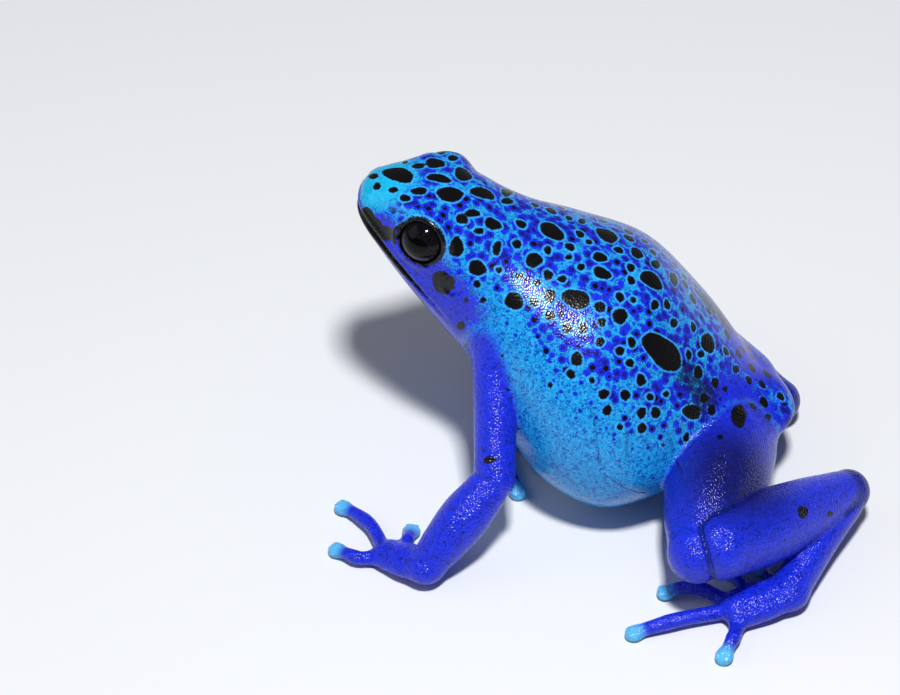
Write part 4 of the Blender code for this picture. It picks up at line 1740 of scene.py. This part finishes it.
class ShapeTree:
    """A Geometry Nodes tree with named inputs, built node by node."""

    def __init__(self, name: str) -> None:
        """Starts a tree that takes a mesh and gives a mesh."""
        self.tree = bpy.data.node_groups.new(name, "GeometryNodeTree")
        for way in ("INPUT", "OUTPUT"):
            self.tree.interface.new_socket("Geometry", in_out=way, socket_type="NodeSocketGeometry")
        self.start = self.tree.nodes.new("NodeGroupInput")
        self.end = self.tree.nodes.new("NodeGroupOutput")
        self.inputs: dict[str, str] = {}

    def input(self, name: str, kind: str) -> bpy.types.NodeSocket:
        """Adds a named input and returns its socket inside the tree."""
        made = self.tree.interface.new_socket(name, in_out="INPUT", socket_type=kind)
        self.inputs[name] = made.identifier
        return self.start.outputs[name]

    def node(
        self, kind: str, settings: dict[str, object], values: dict[int | str, object]
    ) -> bpy.types.Node:
        """Adds a node with its settings and the values or links of its sockets."""
        made = self.tree.nodes.new(kind)
        for name, setting in settings.items():
            setattr(made, name, setting)
        for key, value in values.items():
            if isinstance(value, bpy.types.NodeSocket):
                self.tree.links.new(value, made.inputs[key])
            else:
                made.inputs[key].default_value = value
        return made

    def apply(
        self, name: str, seeds: bpy.types.Object, values: dict[str, object]
    ) -> bpy.types.Object:
        """Runs the tree on a mesh and keeps the result as a plain piece.

        Args:
            name: The new piece's name.
            seeds: The mesh that the tree starts from, which is removed.
            values: The tree's inputs by name.

        Returns:
            The new piece.
        """
        modifier = seeds.modifiers.new(self.tree.name, "NODES")
        modifier.node_group = self.tree
        for key, value in values.items():
            modifier[self.inputs[key]] = value
        graph = bpy.context.evaluated_depsgraph_get()
        mesh = bpy.data.meshes.new_from_object(seeds.evaluated_get(graph))
        mesh.name = name
        piece = bpy.data.objects.new(name, mesh)
        bpy.context.scene.collection.objects.link(piece)
        bpy.data.objects.remove(seeds)
        return piece


@dataclass(frozen=True)
class DigitScutes:
    """The two small plates on top of every toe and finger disc."""

    form: FrogForm
    length: float = 0.44
    width: float = 0.3
    height: float = 0.16
    apart: float = 0.33
    lift: float = 0.38
    segments: int = 16
    rings: int = 10

    def tree(self) -> ShapeTree:
        """One rounded plate at every point, turned along its digit."""
        shape = ShapeTree("digit_scutes")
        size = shape.input("Half Sizes", "NodeSocketVector")
        material = shape.input("Material", "NodeSocketMaterial")
        dots = shape.node("GeometryNodeMeshToPoints", {}, {"Mesh": shape.start.outputs["Geometry"]})
        sizes = {"Segments": self.segments, "Rings": self.rings, "Radius": 1.0}
        ball = shape.node("GeometryNodeMeshUVSphere", {}, sizes)
        vectors = {"data_type": "FLOAT_VECTOR"}
        ahead, above = (
            shape.node("GeometryNodeInputNamedAttribute", vectors, {"Name": name})
            for name in ("ahead", "above")
        )
        align = "FunctionNodeAlignRotationToVector"
        turn = shape.node(align, {"axis": "X"}, {"Vector": ahead.outputs["Attribute"]})
        links = {"Rotation": turn.outputs["Rotation"], "Vector": above.outputs["Attribute"]}
        turn = shape.node(align, {"axis": "Z", "pivot_axis": "X"}, links)
        links = {
            "Points": dots.outputs["Points"],
            "Instance": ball.outputs["Mesh"],
            "Rotation": turn.outputs["Rotation"],
            "Scale": size,
        }
        made = shape.node("GeometryNodeInstanceOnPoints", {}, links).outputs["Instances"]
        for kind in ("GeometryNodeRealizeInstances", "GeometryNodeSetShadeSmooth"):
            made = shape.node(kind, {}, {"Geometry": made}).outputs["Geometry"]
        links = {"Geometry": made, "Material": material}
        painted = shape.node("GeometryNodeSetMaterial", {}, links)
        shape.tree.links.new(painted.outputs["Geometry"], shape.end.inputs["Geometry"])
        return shape

    def build(self, material: bpy.types.Material) -> bpy.types.Object:
        """Builds the plates on all the discs.

        Args:
            material: Their finish.

        Returns:
            The piece.
        """
        places, ahead, above = [], [], []
        for limb in self.form.limbs:
            for digit in limb.digits:
                along, across, up = digit.disc_axes()
                for side in (-1.0, 1.0):
                    centre = digit.centres()[-1] + up * self.lift
                    places.append(centre + across * side * self.apart)
                    ahead.append(along)
                    above.append(up)
        seeds = mesh_piece("scute_places", np.array(places), [])
        for name, ways in (("ahead", ahead), ("above", above)):
            layer = seeds.data.attributes.new(name, "FLOAT_VECTOR", "POINT")
            layer.data.foreach_set("vector", np.array(ways, np.float32).ravel())
        sizes = [size * MM for size in (self.length, self.width, self.height)]
        values = {"Half Sizes": sizes, "Material": material}
        piece = self.tree().apply("digit_scutes", seeds, values)
        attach(piece, "root")
        return piece


@dataclass(frozen=True)
class Lamp:
    """A square soft light: its place, its side in metres and its power in watts."""

    name: str
    place: Point
    size: float
    power: float

    def build(self, aim: Point) -> None:
        """Adds the light, shining at a point."""
        data = bpy.data.lights.new(self.name, "AREA")
        data.size, data.energy = self.size, self.power
        lamp = bpy.data.objects.new(self.name, data)
        bpy.context.scene.collection.objects.link(lamp)
        lamp.location = self.place
        way = Vector(aim) - Vector(self.place)
        lamp.rotation_euler = way.to_track_quat("-Z", "Y").to_euler()


@dataclass(frozen=True)
class Studio:
    """The pale floor, the soft lights and the surroundings."""

    floor_size: float = 2.4
    aim: Point = (0.0, 0.0, 0.012)
    lamps: tuple[Lamp, ...] = (
        Lamp("key_light", (0.04, -0.15, 0.42), 0.045, 2.1),
        Lamp("fill_light", (-0.42, -0.12, 0.30), 0.4, 0.35),
    )
    sky: Colour = (0.92, 0.95, 1.0, 1.0)
    sky_strength: float = 0.14

    def floor(self) -> bpy.types.Object:
        """The pale floor."""
        half = self.floor_size / 2
        mesh = bpy.data.meshes.new("floor")
        corners = [(x * half, y * half, 0.0) for x, y in ((-1, -1), (1, -1), (1, 1), (-1, 1))]
        mesh.from_pydata(corners, [], [(0, 1, 2, 3)])
        floor = bpy.data.objects.new("floor", mesh)
        bpy.context.scene.collection.objects.link(floor)
        mesh.materials.append(FloorFinish().make())
        return floor

    def build(self) -> None:
        """Sets up the floor, the lights and the surroundings."""
        self.floor()
        for lamp in self.lamps:
            lamp.build(self.aim)
        world = bpy.data.worlds.new("studio")
        world.use_nodes = True
        shade = world.node_tree.nodes["Background"]
        shade.inputs["Color"].default_value = self.sky
        shade.inputs["Strength"].default_value = self.sky_strength
        bpy.context.scene.world = world
        bpy.context.scene.view_settings.view_transform = "Standard"


def main() -> None:
    """Builds the pieces in order."""
    logging.basicConfig(level=logging.INFO, format="%(message)s")
    camera, form = PhotoCamera(), FrogForm()
    camera.place()
    Studio().build()
    FrogSkin(form, SkinMesher(), camera).build()
    wet = EyeFinish().make()
    Eye(form.head, -1, "eye_left").build(wet)
    Eye(form.head, 1, "eye_right").build(wet)
    DigitScutes(form).build(ScuteFinish().make())


if __name__ == "__main__":
    main()
